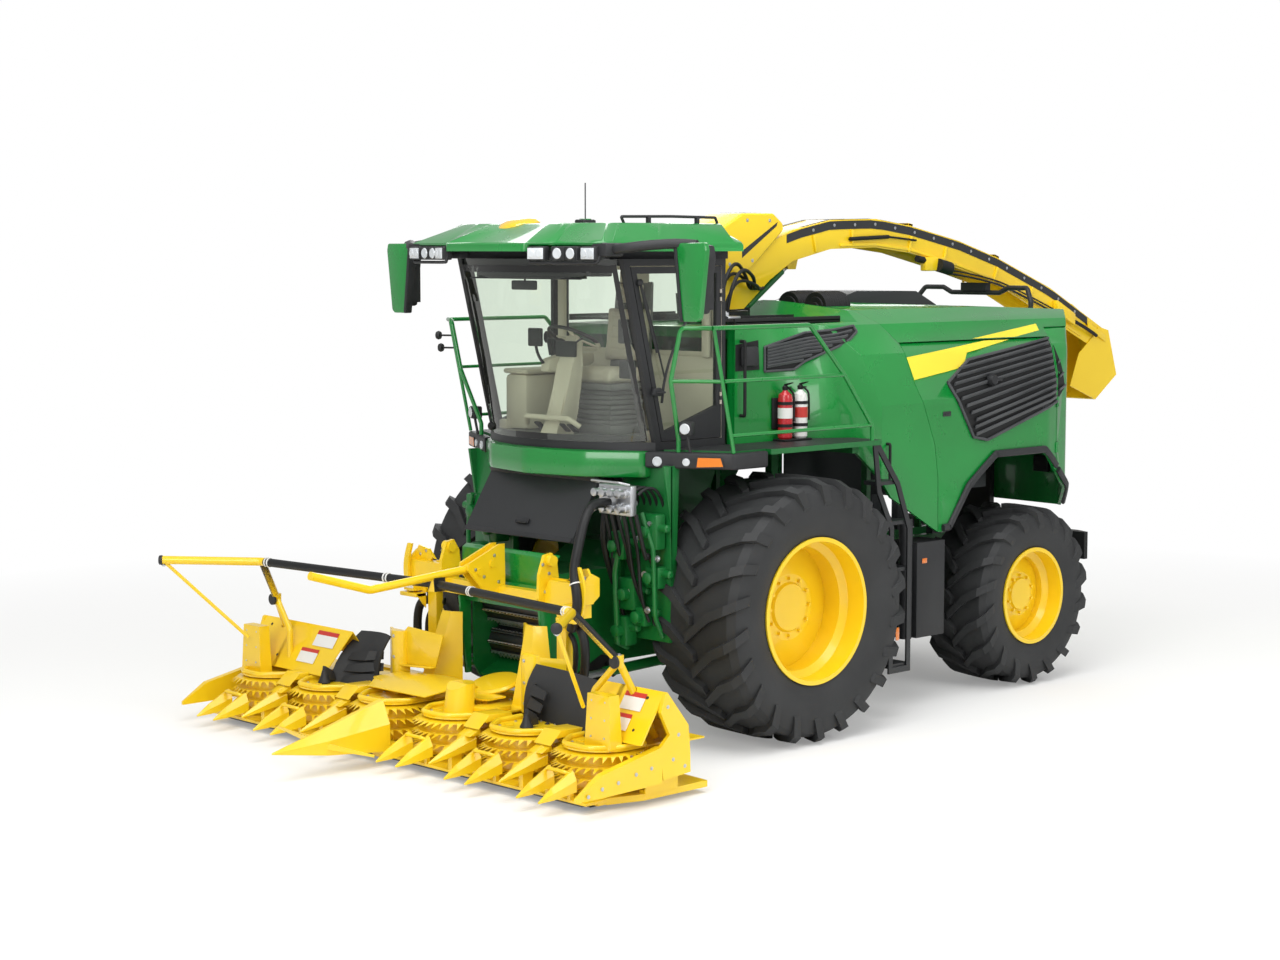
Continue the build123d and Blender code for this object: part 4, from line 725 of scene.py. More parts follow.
def covers_trim():
    """Folded mounts behind the large dividers, cover plates, latch levers and label plates left blank."""
    bm = bmesh.new()
    for x in (0.75, 1.5):
        prism(bm, [(-2.55, 0.345), (-2.45, 0.435), (-2.25, 0.43), (-2.23, 0.388), (-2.5, 0.388)], "x", x
              - 0.085, x + 0.085, 0.008)
        prism(bm, [(-2.62, 0.3), (-2.52, 0.345), (-2.52, 0.3)], "x", x - 0.07, x + 0.07, 0.004)
    for x in DRUM_X[3:]:
        for turn in (-0.9, 0.35):
            c, s = cos(turn), sin(turn)
            a = Vector((x + 0.17 * s, DRUM_Y - 0.1 * c, COVER_TOP))
            prism(bm, [(a.x - 0.035, a.y - 0.02), (a.x + 0.035, a.y - 0.02), (a.x + 0.035, a.y + 0.02),
                       (a.x - 0.035, a.y + 0.02)], "z", COVER_TOP, COVER_TOP + 0.006, 0.002)
    prism(bm, [(0.4, -2.3), (0.6, -2.26), (0.6, -2.05), (0.42, -2.04)], "z", COVER_TOP, COVER_TOP + 0.035,
          0.008)
    mirrored_x(bm)
    turned(bm, [(0, 0.0), (0.19, 0.0), (0.195, 0.012), (0.18, 0.03), (0, 0.045)], (0.2, -1.86, 0.486),
           (0, -0.25, 1), 40)
    for s, inner in ((1, 1.66), (-1, 1.13)):
        skin(bm, [[(s * 1.9, *fold), (s * (inner + more), *fold)]
                  for fold, more in ((RIDGE_FRONT, 0.1), (RIDGE_TOP, 0), (RIDGE_BACK, 0.04))], 0.006)
    skin(bm, [[(-0.62, -2.4, 0.44), (-0.3, -2.44, 0.455), (0.02, -2.38, 0.44)],
              [(-0.68, -2.28, 0.492), (-0.26, -2.3, 0.52), (0.14, -2.26, 0.492)],
              [(-0.66, -2.06, 0.5), (-0.24, -2.05, 0.53), (0.18, -2.04, 0.5)],
              [(-0.6, -1.94, 0.47), (-0.22, -1.92, 0.5), (0.16, -1.92, 0.47)]], 0.008)
    prism(bm, [(-0.7, 0.545), (-0.33, 0.57), (-0.24, 0.815), (-0.66, 0.835), (-0.7, 0.8)], "y", -1.992, -1.98,
          0.003)
    prism(bm, [(-0.7, 0.545), (-0.33, 0.57), (-0.33, 0.558), (-0.7, 0.533)], "y", -2.04, -1.98, 0.002)
    piece("cover_fittings", bm, "header", yellow_enamel)
    bm = bmesh.new()
    slope, face = Vector((0, -2, -3)).normalized(), Vector((0, -3, 2)).normalized()
    for x, down, width, tall, red in ((2.04, 0.04, 0.2, 0.13, 0.035), (1.99, 0.2, 0.2, 0.12, 0.03),
                                      (-1.4, 0.04, 0.26, 0.13, 0.035), (-1.52, 0.2, 0.22, 0.12, 0.03)):
        top = Vector((x, *RIDGE_TOP)) + slope * down + face * 0.005
        side = Vector((width / 2, 0, 0))
        for a, b, index in ((0.0, red, 1), (red, tall, 0)):
            corners = [top - side + slope * a, top + side + slope * a, top + side + slope * b,
                       top - side + slope * b]
            panel(bm, corners, 0.0015, index)
    piece("blank_labels", bm, "header", white_film, red_film)


def header_bolts():
    """Zinc bolts on the covers, towers, posts, brackets and side plates."""
    found = [(x + 0.2 * cos(a), DRUM_Y + 0.2 * sin(a), COVER_TOP, *UP)
             for x in DRUM_X for a in (pi * (0.62 + 0.29 * k) for k in range(7))]
    left = [(x, -2.513 + 0.04 * z, z, *AHEAD) for z in (0.46, 0.58, 0.7) for x in (1.93, 2.06)]
    left += [(0.75, -2.058, z, *AHEAD) for z in (0.45, 0.6, 0.76)]
    for y, z in ((-2.86, 0.168), (-2.74, 0.2), (-2.6, 0.22), (-2.44, 0.25), (-2.3, 0.27), (-2.1, 0.3),
                 (-2.05, 0.46), (-2.15, 0.66), (-1.99, 0.24)):
        x = 2.305 if y > -2.19 else 2.306 - 0.02 * max(0, -y - 2.6)
        left.append((x, y, z, *OUT))
    left += [(x, -1.642, z, *AHEAD) for x, z in ((0.62, 1.19), (0.94, 1.19), (0.94, 1.33), (0.66, 1.27),
                                                 (0.87, 1.36))]
    left += [(0.575, y, z, *OUT) for y, z in ((-1.7, 1.2), (-1.66, 1.33), (-1.72, 1.4))]
    left += [(0.058, y, z, *OUT) for y, z in ((-1.92, 1.33), (-1.84, 1.27), (-1.74, 1.42), (-1.7, 1.22))]
    left += [(0.3 + 0.25 * k, -1.8, COVER_TOP, *UP) for k in range(8)]
    bolts("header_bolts", "header", zinc_steel, found + both_sides(left), 0.009, 0.007)
    dark = [(1.9, -2.31, 0.5, 0, -0.83, 0.55), (2.15, -2.31, 0.5, 0, -0.83, 0.55),
            (2.15, -2.18, 0.7, 0, -0.83, 0.55), (1.16, -2.2, COVER_TOP, *UP)]
    bolts("deck_clips", "header", black_plastic, both_sides(dark), 0.014, 0.01, 12)


def divider_fins():
    """Thin blades on both sides of the middle divider's nose."""
    bm = bmesh.new()
    root = Vector((0.04, -3.28, 0.215))
    for s, tip in ((1, (0.36, -3.1, 0.165)), (-1, (0.66, -3.19, 0.235))):
        rows = []
        for side in (1, -1):
            run = [root.lerp(Vector(tip), t) + Vector((0, 0, side * (0.022 - 0.014 * t)))
                   for t in (0.0, 0.5, 1.0)]
            rows.append([(s * p.x, p.y, p.z) for p in run])
        skin(bm, rows, 0.012)
    piece("divider_fins", bm, "header", yellow_enamel)


def hooked_teeth(bm, x, z, root, tip, count, lean, drop):
    """Solid pointed saw teeth that lean round a disc and hook down at their tips."""
    def spot(k, r, height):
        t = 2 * pi * k / count
        return bm.verts.new((x + r * cos(t), DRUM_Y + r * sin(t), height))

    for k in range(count):
        low = [spot(k + 0.08, root, z), spot(k + 0.72, root, z)]
        top = [spot(k + 0.08, root, z + 0.007), spot(k + 0.72, root, z + 0.007)]
        end = spot(k + 0.4 + 0.35 * lean, tip, z - drop)
        for face in ((low[0], low[1], end), (top[1], top[0], end), (low[1], top[1], end),
                     (top[0], low[0], end), (low[0], top[0], top[1], low[1])):
            bm.faces.new(face)


def drum_discs():
    """The rotary drums: a ringed core, three discs of hooked saw teeth and a fine cutting disc below."""
    for i, x in enumerate(DRUM_X):
        lean = 1 if i < 3 else -1
        bm = bmesh.new()
        turned(bm, [(0, 0.1115), (0.238, 0.1115), (0.24, 0.19), (0.3, 0.19), (0.3, 0.197), (0.236, 0.2),
                    (0.236, 0.268), (0.3, 0.268), (0.3, 0.275), (0.236, 0.279), (0.236, 0.344),
                    (0.296, 0.344), (0.296, 0.351), (0.23, 0.364), (0, 0.364)], (x, DRUM_Y, 0), UP, 48)
        for z, tip, count in ((0.19, 0.35, 30), (0.268, 0.352, 34), (0.344, 0.35, 34)):
            hooked_teeth(bm, x, z, 0.294, tip, count, lean, 0.026)
        hooked_teeth(bm, x, 0.118, 0.232, 0.342, 40, lean, 0.002)
        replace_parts(piece(f"drum_discs_{i + 1}", bm, f"drum_{i + 1}", yellow_enamel), f"drum_{i + 1}")


def shield_trim():
    """Folded lower edge and the small pull handle of the front shield."""
    bm = bmesh.new()
    prism(bm, [(-1.462, 1.575), (-1.484, 1.543), (-1.478, 1.536), (-1.455, 1.569)], "x", -0.6, 0.6, 0.002)
    prism(bm, [(-1.405, 1.665), (-1.425, 1.633), (-1.431, 1.637), (-1.411, 1.669)], "x", -0.075, 0.075, 0.002)
    tube(bm, rail([(-0.06, -1.416, 1.65), (-0.06, -1.436, 1.64), (0.06, -1.436, 1.64), (0.06, -1.416, 1.65)],
                  0.02), 0.006)
    piece("shield_edge", bm, "chassis", black_plastic)


def hook_plates():
    """Green front sheet, white latch blocks, curved outer plates and rod eyes of the hook-up brackets."""
    bm = bmesh.new()
    prism(bm, [(-1.548, 1.19), (-1.562, 1.19), (-1.562, 1.42), (-1.52, 1.445), (-1.506, 1.435),
               (-1.548, 1.41)], "x", -0.53, 0.53, 0.003)
    prism(bm, [(-1.6, 1.02), (-1.548, 1.06), (-1.548, 1.2), (-1.565, 1.2)], "x", -0.5, 0.5, 0.004)
    for s in (1, -1):
        prism(bm, [(-1.55, 0.46), (-1.6, 0.46), (-1.66, 1.06), (-1.55, 1.1)], "x", s * 0.455 - 0.012,
              s * 0.455 + 0.012, 0.003)
    piece("feed_mouth_sheets", bm, "header", green_enamel)
    bm = bmesh.new()
    for s in (1, -1):
        for k in range(3):
            slab(bm, s * 0.9 - 0.05 + 0.034 * k, s * 0.9 - 0.022 + 0.034 * k, -1.8, -1.78, 1.1, 1.125
                 + 0.004 * k)
        slab(bm, s * 0.9 - 0.055, s * 0.9 + 0.055, -1.797, -1.785, 1.085, 1.103)
    piece("latch_blocks", bm, "header", white_enamel)
    bm = bmesh.new()
    arc = [(0.985 + 0.05 * sin(pi * k / 10), 1.02 + 0.4 * k / 10) for k in range(11)]
    prism(bm, [(x, z) for x, z in arc] + [(x - 0.055, z) for x, z in arc[::-1]], "y", -1.735, -1.715, 0.003)
    turned(bm, [(0.022, 0), (0.04, 0), (0.04, 0.09), (0.022, 0.09)], (0.53, -1.655, 1.425), OUT, 20)
    slab(bm, 0.8, 1.0, -1.8, -1.7, 1.02, 1.05)
    prism(bm, [(-1.8, 1.05), (-1.7, 1.05), (-1.7, 0.93)], "x", 0.8, 0.815, 0.003)
    mirrored_x(bm)
    for s in (1, -1):
        for y, z in ((-1.88, 1.31), (-1.76, 1.36)):
            turned(bm, [(0.0168, 0), (0.028, 0), (0.028, 0.008), (0.0168, 0.008)], (s * 0.058, y, z),
                   (s, 0, 0), 18)
    piece("hook_up_plates", bm, "header", yellow_enamel)


def along_line(a, b, reach):
    """A test of whether a face lies within reach of the straight line from a to b."""
    a, b = Vector(a), Vector(b)
    span = b - a

    def test(c, n):
        c = Vector((abs(c.x), c.y, c.z))
        t = (c - a).dot(span) / span.length_squared
        return -0.02 < t < 1.02 and (a + span * t - c).length < reach
    return test


def guide_trim():
    """Foam sleeves in black, white ties, end caps and hanging rods of the push tubes."""
    def sleeve(c, n):
        bent = abs(c.y + 2.24 + 0.1625 * abs(c.x)) < 0.07
        return abs(c.x) < 1.7 and -2.56 < c.y < -2.19 and 1.19 < c.z < 1.31 and bent and not 0 <= c.x <= 0.03

    paint("crop_guide", yellow_enamel, (hose_rubber, sleeve),
          (hose_rubber, along_line((1.79, -2.52, 1.262), (1.925, -2.37, 1.07), 0.05)))
    bm = bmesh.new()
    for x in (0.47, 1.7):
        for dx in (0, 0.028):
            at = Vector((x + dx, -2.24 - 0.1618 * (x + dx), 1.2505 + 0.0112 * (x + dx)))
            turned(bm, [(0.033, -0.006), (0.0365, -0.006), (0.0365, 0.006), (0.033, 0.006)], at,
                   (1, -0.162, 0.011), 24)
    mirrored_x(bm)
    piece("sleeve_ties", bm, "header", white_enamel)
    bm = bmesh.new()
    turned(bm, [(0, 0), (0.036, 0), (0.038, 0.006), (0.036, 0.024), (0.026, 0.03), (0, 0.03)],
           (2.276, -3.106, 1.288), (0.65, -0.76, 0.03), 24)
    turned(bm, [(0, 0), (0.044, 0), (0.044, 0.016), (0, 0.02)], (1.96, -2.305, 0.935), AHEAD, 20)
    mirrored_x(bm)
    piece("tube_caps", bm, "header", black_plastic)
    bolts("guide_bolts", "header", zinc_steel, both_sides([(2.27, -3.1, 1.252, 0, 0, -1),
            (1.96, -2.27, 0.977, 0, 0, 1), (2.046, -2.05, 0.47, 0.3, -0.9, 0.2)]), 0.014, 0.012)


def roll_teeth():
    """Toothed strips bolted to the feed rolls' ribs, bright where the crop rubs them."""
    for name, body, y, z, reach, count in (("upper_roll_teeth", "upper_roll", -1.33, 0.985, 0.15, 10),
                                           ("lower_roll_teeth", "lower_roll", -1.3, 0.69, 0.12, 8)):
        bm = bmesh.new()
        for k in range(count):
            before = len(bm.verts)
            teeth = [(-0.4, 0.0)]
            for j in range(20):
                x = -0.4 + 0.04 * j
                teeth += [(x + 0.004, 0.013), (x + 0.018, 0.022), (x + 0.03, 0.013), (x + 0.034, 0.004)]
            teeth += [(0.4, 0.0)]
            prism(bm, teeth, "y", 0.0065, 0.0095)
            prism(bm, [(-0.012, -0.002), (0.012, -0.002), (0.012, 0.003), (-0.012, 0.003)], "x", -0.4, 0.4)
            bm.verts.ensure_lookup_table()
            new = bm.verts[before:]
            turn = Matrix.Rotation(radians(360.0 * k / count), 4, "X")
            bmesh.ops.translate(bm, verts=new, vec=(0, 0, reach - 0.004))
            bmesh.ops.transform(bm, matrix=Matrix.Translation((0, y, z)) @ turn, verts=new)
        piece(name, bm, body, zinc_steel)


def hose(name, path, radius, sides, body):
    """A hose as a piece of its own, along points measured from the front axle."""
    mesh = strand([(x, y + AXLE_Y, z) for x, y, z in path], radius, sides)
    mesh.name = name
    return place(bpy.data.objects.new(name, mesh), body, hose_rubber)


def header_hoses():
    """Thick hose bundle from the quick coupler to the header, and the arched drive hoses beside it."""
    path = [(0.86, -1.33, 1.84), (0.84, -1.45, 1.86), (0.9, -1.6, 1.78), (0.93, -1.7, 1.55),
            (0.925, -1.74, 1.38), (0.985, -1.76, 1.24), (0.985, -1.755, 1.12), (0.93, -1.745, 1.03),
            (0.9, -1.74, 0.96)]
    made = hose("coupler_hose", path, 0.036, 4, None)
    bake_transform(made)
    bm = bmesh.new()
    tube(bm, [(0.7, -1.6, 0.98), (0.8, -1.66, 1.0), (0.93, -1.66, 0.96), (0.97, -1.66, 0.8),
              (0.94, -1.66, 0.55), (0.84, -1.66, 0.46)], 0.034, sides=4)
    tube(bm, [(0.66, -1.6, 0.9), (0.74, -1.65, 0.93), (0.84, -1.65, 0.88), (0.86, -1.65, 0.7),
              (0.8, -1.65, 0.5)], 0.02, sides=4)
    mirrored_x(bm)
    piece("drive_hoses", bm, "header", hose_rubber)
    bm = bmesh.new()
    turned(bm, [(0.036, -0.005), (0.041, -0.005), (0.041, 0.005), (0.036, 0.005)], (0.955, -1.75, 1.3),
           (0.5, -0.1, -1), 24)
    piece("hose_tie", bm, "header", white_enamel)


def skid_plates():
    """Dark wear bar and skid plates below the points."""
    bm = bmesh.new()
    slab(bm, -2.1, 2.1, -2.735, -2.66, 0.045, 0.059)
    for x in (-2.0, -1.3, -0.55, 0.55, 1.3, 2.0):
        prism(bm, [(-2.7, 0.045), (-2.62, 0.018), (-2.0, 0.018), (-1.92, 0.04), (-2.0, 0.03), (-2.6, 0.03),
                   (-2.68, 0.058)], "x", x - 0.06, x + 0.06, 0.002)
    piece("skid_plates", bm, "header", dark_roll)


rubber_skirts()
covers_trim()
header_bolts()
divider_fins()
drum_discs()
shield_trim()
hook_plates()
guide_trim()
roll_teeth()
header_hoses()
skid_plates()


# ---- cab ----
def screen_point(x, z, out=0.0):
    """A point on the bowed windscreen, or this far in front of it."""
    t = (z - 2.26) / 1.34
    side, middle = -0.942 - 0.33 * t, -1.33 - 0.12 * t
    return (x, middle + (side - middle) * (x / 0.88) ** 2 - out, z)


def pod(bm, x, y, z, w, h, turn, round_eyes=0):
    """A work lamp: bevelled housing, clear lens, and either one square reflector or round eyes."""
    before = len(bm.verts)
    slab(bm, -w / 2, w / 2, -0.02, 0.06, -h / 2, h / 2, 0.012)
    lens = 0 if round_eyes else 1
    slab(bm, -w / 2 + 0.01, w / 2 - 0.01, -0.026, -0.018, -h / 2 + 0.01, h / 2 - 0.01, 0.003, lens)
    if round_eyes:
        for k in range(round_eyes):
            at = (k - (round_eyes - 1) / 2) * w / round_eyes
            r = min(h, w / round_eyes) * 0.4
            turned(bm, [(0, -0.03), (r * 0.86, -0.032), (r, -0.026), (r, -0.018)], (at, 0, 0), (0, 1, 0), 20,
                   1)
    else:
        for k in (-1, 1):
            turned(bm, [(0, -0.034), (h * 0.26, -0.031), (h * 0.3, -0.026)], (k * w * 0.22, 0, 0), (0, 1, 0),
                   18, 1)
    bm.verts.ensure_lookup_table()
    new = bm.verts[before:]
    bmesh.ops.transform(bm, matrix=Matrix.Translation((x, y, z)) @ Matrix.Rotation(turn, 4, "Z"), verts=new)


def roof_fittings():
    """Work lamps under the visor, dome lens, rails and the stout mirror arms with their roots."""
    bm = bmesh.new()
    for s in (1, -1):
        for x, y, w, eyes, turn in (
                (0.54, -1.735, 0.15, 0, 0.3), (0.7, -1.665, 0.13, 1, 0.15), (0.82, -1.645, 0.12, 1, 0.1),
                                    (0.975, -1.625, 0.14, 0, 0.1)):
            pod(bm, s * x, y, 3.64, w, 0.1, s * turn, eyes)
    piece("work_lamps", bm, "chassis", black_plastic, lamp_lens)
    bm = bmesh.new()
    tube(bm, rail([(0.47, -1.72, 3.66), (0.47, -1.745, 3.575), (0.62, -1.675, 3.572), (1.03, -1.605, 3.572),
                   (1.05, -1.57, 3.66)], 0.04), 0.012)
    slab(bm, 0.46, 1.04, -1.62, -1.52, 3.6, 3.66, 0.012)
    slab(bm, 0.96, 1.12, -1.6, -1.42, 3.615, 3.715, 0.02)
    tube(bm, [(1.0, -1.5, 3.665), (1.16, -1.52, 3.672), (1.34, -1.4, 3.7), (1.52, -1.24, 3.712),
              (1.62, -1.2, 3.7)], 0.036, sides=5)
    turned(bm, [(0, 0), (0.022, 0), (0.022, 0.02), (0.012, 0.03), (0, 0.03)], (0.99, -1.5, 3.712), UP, 16)
    mirrored_x(bm)
    tube(bm, rail([(0.84, -1.16, 3.855), (0.84, -1.19, 3.905), (0.86, -0.7, 3.91), (0.86, -0.24, 3.905),
                   (0.86, -0.22, 3.86)], 0.03), 0.011)
    for y in (-0.95, -0.45):
        slab(bm, 0.845, 0.875, y, y + 0.03, 3.855, 3.905)
    slab(bm, -0.05, 0.05, -0.84, -0.7, 3.858, 3.895, 0.014)
    piece("roof_hardware", bm, "chassis", black_plastic)
    bm = bmesh.new()
    turned(bm, [(0.16, 0), (0.158, 0.02), (0.135, 0.042), (0.08, 0.058), (0, 0.064)], (-0.08, -1.36, 3.838),
           (0, -0.22, 0.97), 36)
    piece("dome_lens", bm, "chassis", beacon_lens)


def door_fittings():
    """Handle, curved seal line, grab bar and side wiper on the glazed door."""
    bm = bmesh.new()
    prism(bm, [(-0.985, 2.61), (-0.9, 2.6), (-0.88, 2.635), (-0.9, 2.665), (-0.975, 2.66)], "x", 0.931, 0.962,
          0.008)
    tube(bm, rail([(0.955, -0.95, 2.63), (0.985, -0.94, 2.63), (0.985, -0.885, 2.63), (0.955, -0.88, 2.63)],
                  0.02), 0.009)
    curve = [(-0.845 - 0.13 * sin(pi * k / 12) * 0.4 + 0.52 * (1 - cos(pi * k / 24)), 2.36 + 1.12 * k / 12)
             for k in range(13)]
    tube(bm, [(0.917, y, z) for y, z in curve[2:]], 0.01, sides=2)
    tube(bm, [(0.945, -1.1, 3.43), (0.95, -1.03, 3.2), (0.945, -0.93, 2.92)], 0.01, sides=2)
    tube(bm, [(0.938, -1.06, 3.36), (0.938, -0.97, 3.12), (0.938, -0.84, 2.72)], 0.007, sides=2)
    turned(bm, [(0.026, 0), (0.026, 0.022), (0.014, 0.034), (0, 0.034)], (0.93, -1.1, 3.43), OUT, 18)
    piece("door_hardware", bm, "cab_door", black_plastic)


def glass_edge():
    """Black bands that hide the bonded edge of the windscreen, with the wiper and its washer nozzle."""
    bm = bmesh.new()
    for z0, z1 in ((2.262, 2.31), (3.5, 3.552)):
        skin(bm, [[screen_point(-0.86 + 0.086 * k, z, 0.0015) for k in range(21)] for z in (z0, z1)], -0.001)
    for s in (1, -1):
        skin(bm, [[screen_point(s * x, 2.27 + 0.107 * k, 0.0015) for x in (0.835, 0.872)] for k in range(13)],
             -0.001)
    piece("screen_band", bm, "chassis", black_gloss)
    bm = bmesh.new()
    hub = Vector(screen_point(-0.66, 2.31, 0.03))
    turned(bm, [(0.032, -0.02), (0.032, 0.012), (0.018, 0.026), (0, 0.026)], hub, (0.2, -1, 0.1), 20)
    tube(bm, [hub, screen_point(-0.72, 2.6, 0.045), screen_point(-0.775, 2.96, 0.035)], 0.011, sides=2)
    tube(bm, [screen_point(-0.7, 2.48, 0.016), screen_point(-0.755, 2.9, 0.016),
              screen_point(-0.82, 3.44, 0.016)], 0.009, sides=2)
    tube(bm, [screen_point(-0.73, 2.62, 0.03), screen_point(-0.765, 2.94, 0.04),
              screen_point(-0.8, 3.26, 0.03)], 0.007, sides=2)
    piece("screen_wiper", bm, "chassis", matt_black)


def smooth_groove(distance, width):
    """A groove's share of its depth at a distance from its line."""
    return 2.718 ** (-(distance / width) ** 2)


def seams(across, along, edge, step, count):
    """How deep the seams lie here: one near each side of the cushion, and cross rows between them."""
    rows = max(smooth_groove(along - step * k, 0.006) for k in range(count)) * (across < edge)
    return max(smooth_groove(across - edge, 0.007), rows)


SWELL, SEAM = 0.013, 0.007                          # most the stuffing swells, and the depth of a seam


def padded_seat():
    """Driver's cushion, back and head rest: stuffed by a cloth run, then drawn in at their seams."""
    bm = bmesh.new()
    prism(bm, [(-0.745, 2.665), (-0.36, 2.665), (-0.36, 2.755), (-0.7, 2.765), (-0.745, 2.735)], "x", -0.235,
          0.235, 0.02)
    prism(bm, [(-0.385, 2.805), (-0.305, 2.805), (-0.272, 3.22), (-0.335, 3.22)], "x", -0.225, 0.225, 0.02)
    prism(bm, [(-0.335, 3.255), (-0.275, 3.255), (-0.262, 3.405), (-0.312, 3.405)], "x", -0.13, 0.13, 0.018)
    into_frame(bm)
    made = bpy.data.objects.new("seat_cushions", mesh_of("seat_cushions", bm))
    scene.collection.objects.link(made)
    remesh = made.modifiers.new("even", "REMESH")
    remesh.mode, remesh.voxel_size = "VOXEL", 0.006
    made.data = applied(made)
    made.modifiers.clear()
    start = [v.co.copy() for v in made.data.vertices]
    cloth = made.modifiers.new("stuffing", "CLOTH")
    cloth.settings.use_pressure, cloth.settings.uniform_pressure_force = True, 4.0
    cloth.settings.effector_weights.gravity = 0.0
    for number in range(1, 21):
        scene.frame_set(number)
    swollen = applied(made)
    made.modifiers.clear()
    made.data = swollen
    scene.frame_set(1)
    for vertex, was in zip(made.data.vertices, start):
        push = vertex.co - was
        if push.length > SWELL:
            vertex.co = was + push.normalized() * SWELL
        across, y, z = abs(was.x), was.y - AXLE_Y, was.z
        if 2.73 < z < 2.79:
            vertex.co.z -= SEAM * seams(across, y + 0.66, 0.145, 0.1, 3)
        elif 2.79 <= z < 3.24 and y < -0.3 - 0.12 * (z - 2.8):
            vertex.co.y += SEAM * seams(across, z - 2.9, 0.14, 0.085, 4)
    smooth = made.modifiers.new("fine", "SUBSURF")
    smooth.levels = smooth.render_levels = 1
    made.data = applied(made)
    made.modifiers.clear()
    place(made, "chassis", seat_cloth, angle=180.0)
    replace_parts(made, "driver_seat")


# woven wool cloth: a fine weave in two tones, coarser than real, so that it shows
seat_cloth = moulded("beige_woven_seat_cloth", "#c6bdae", "#b0a798", 0.9, 700.0, 0.0008)


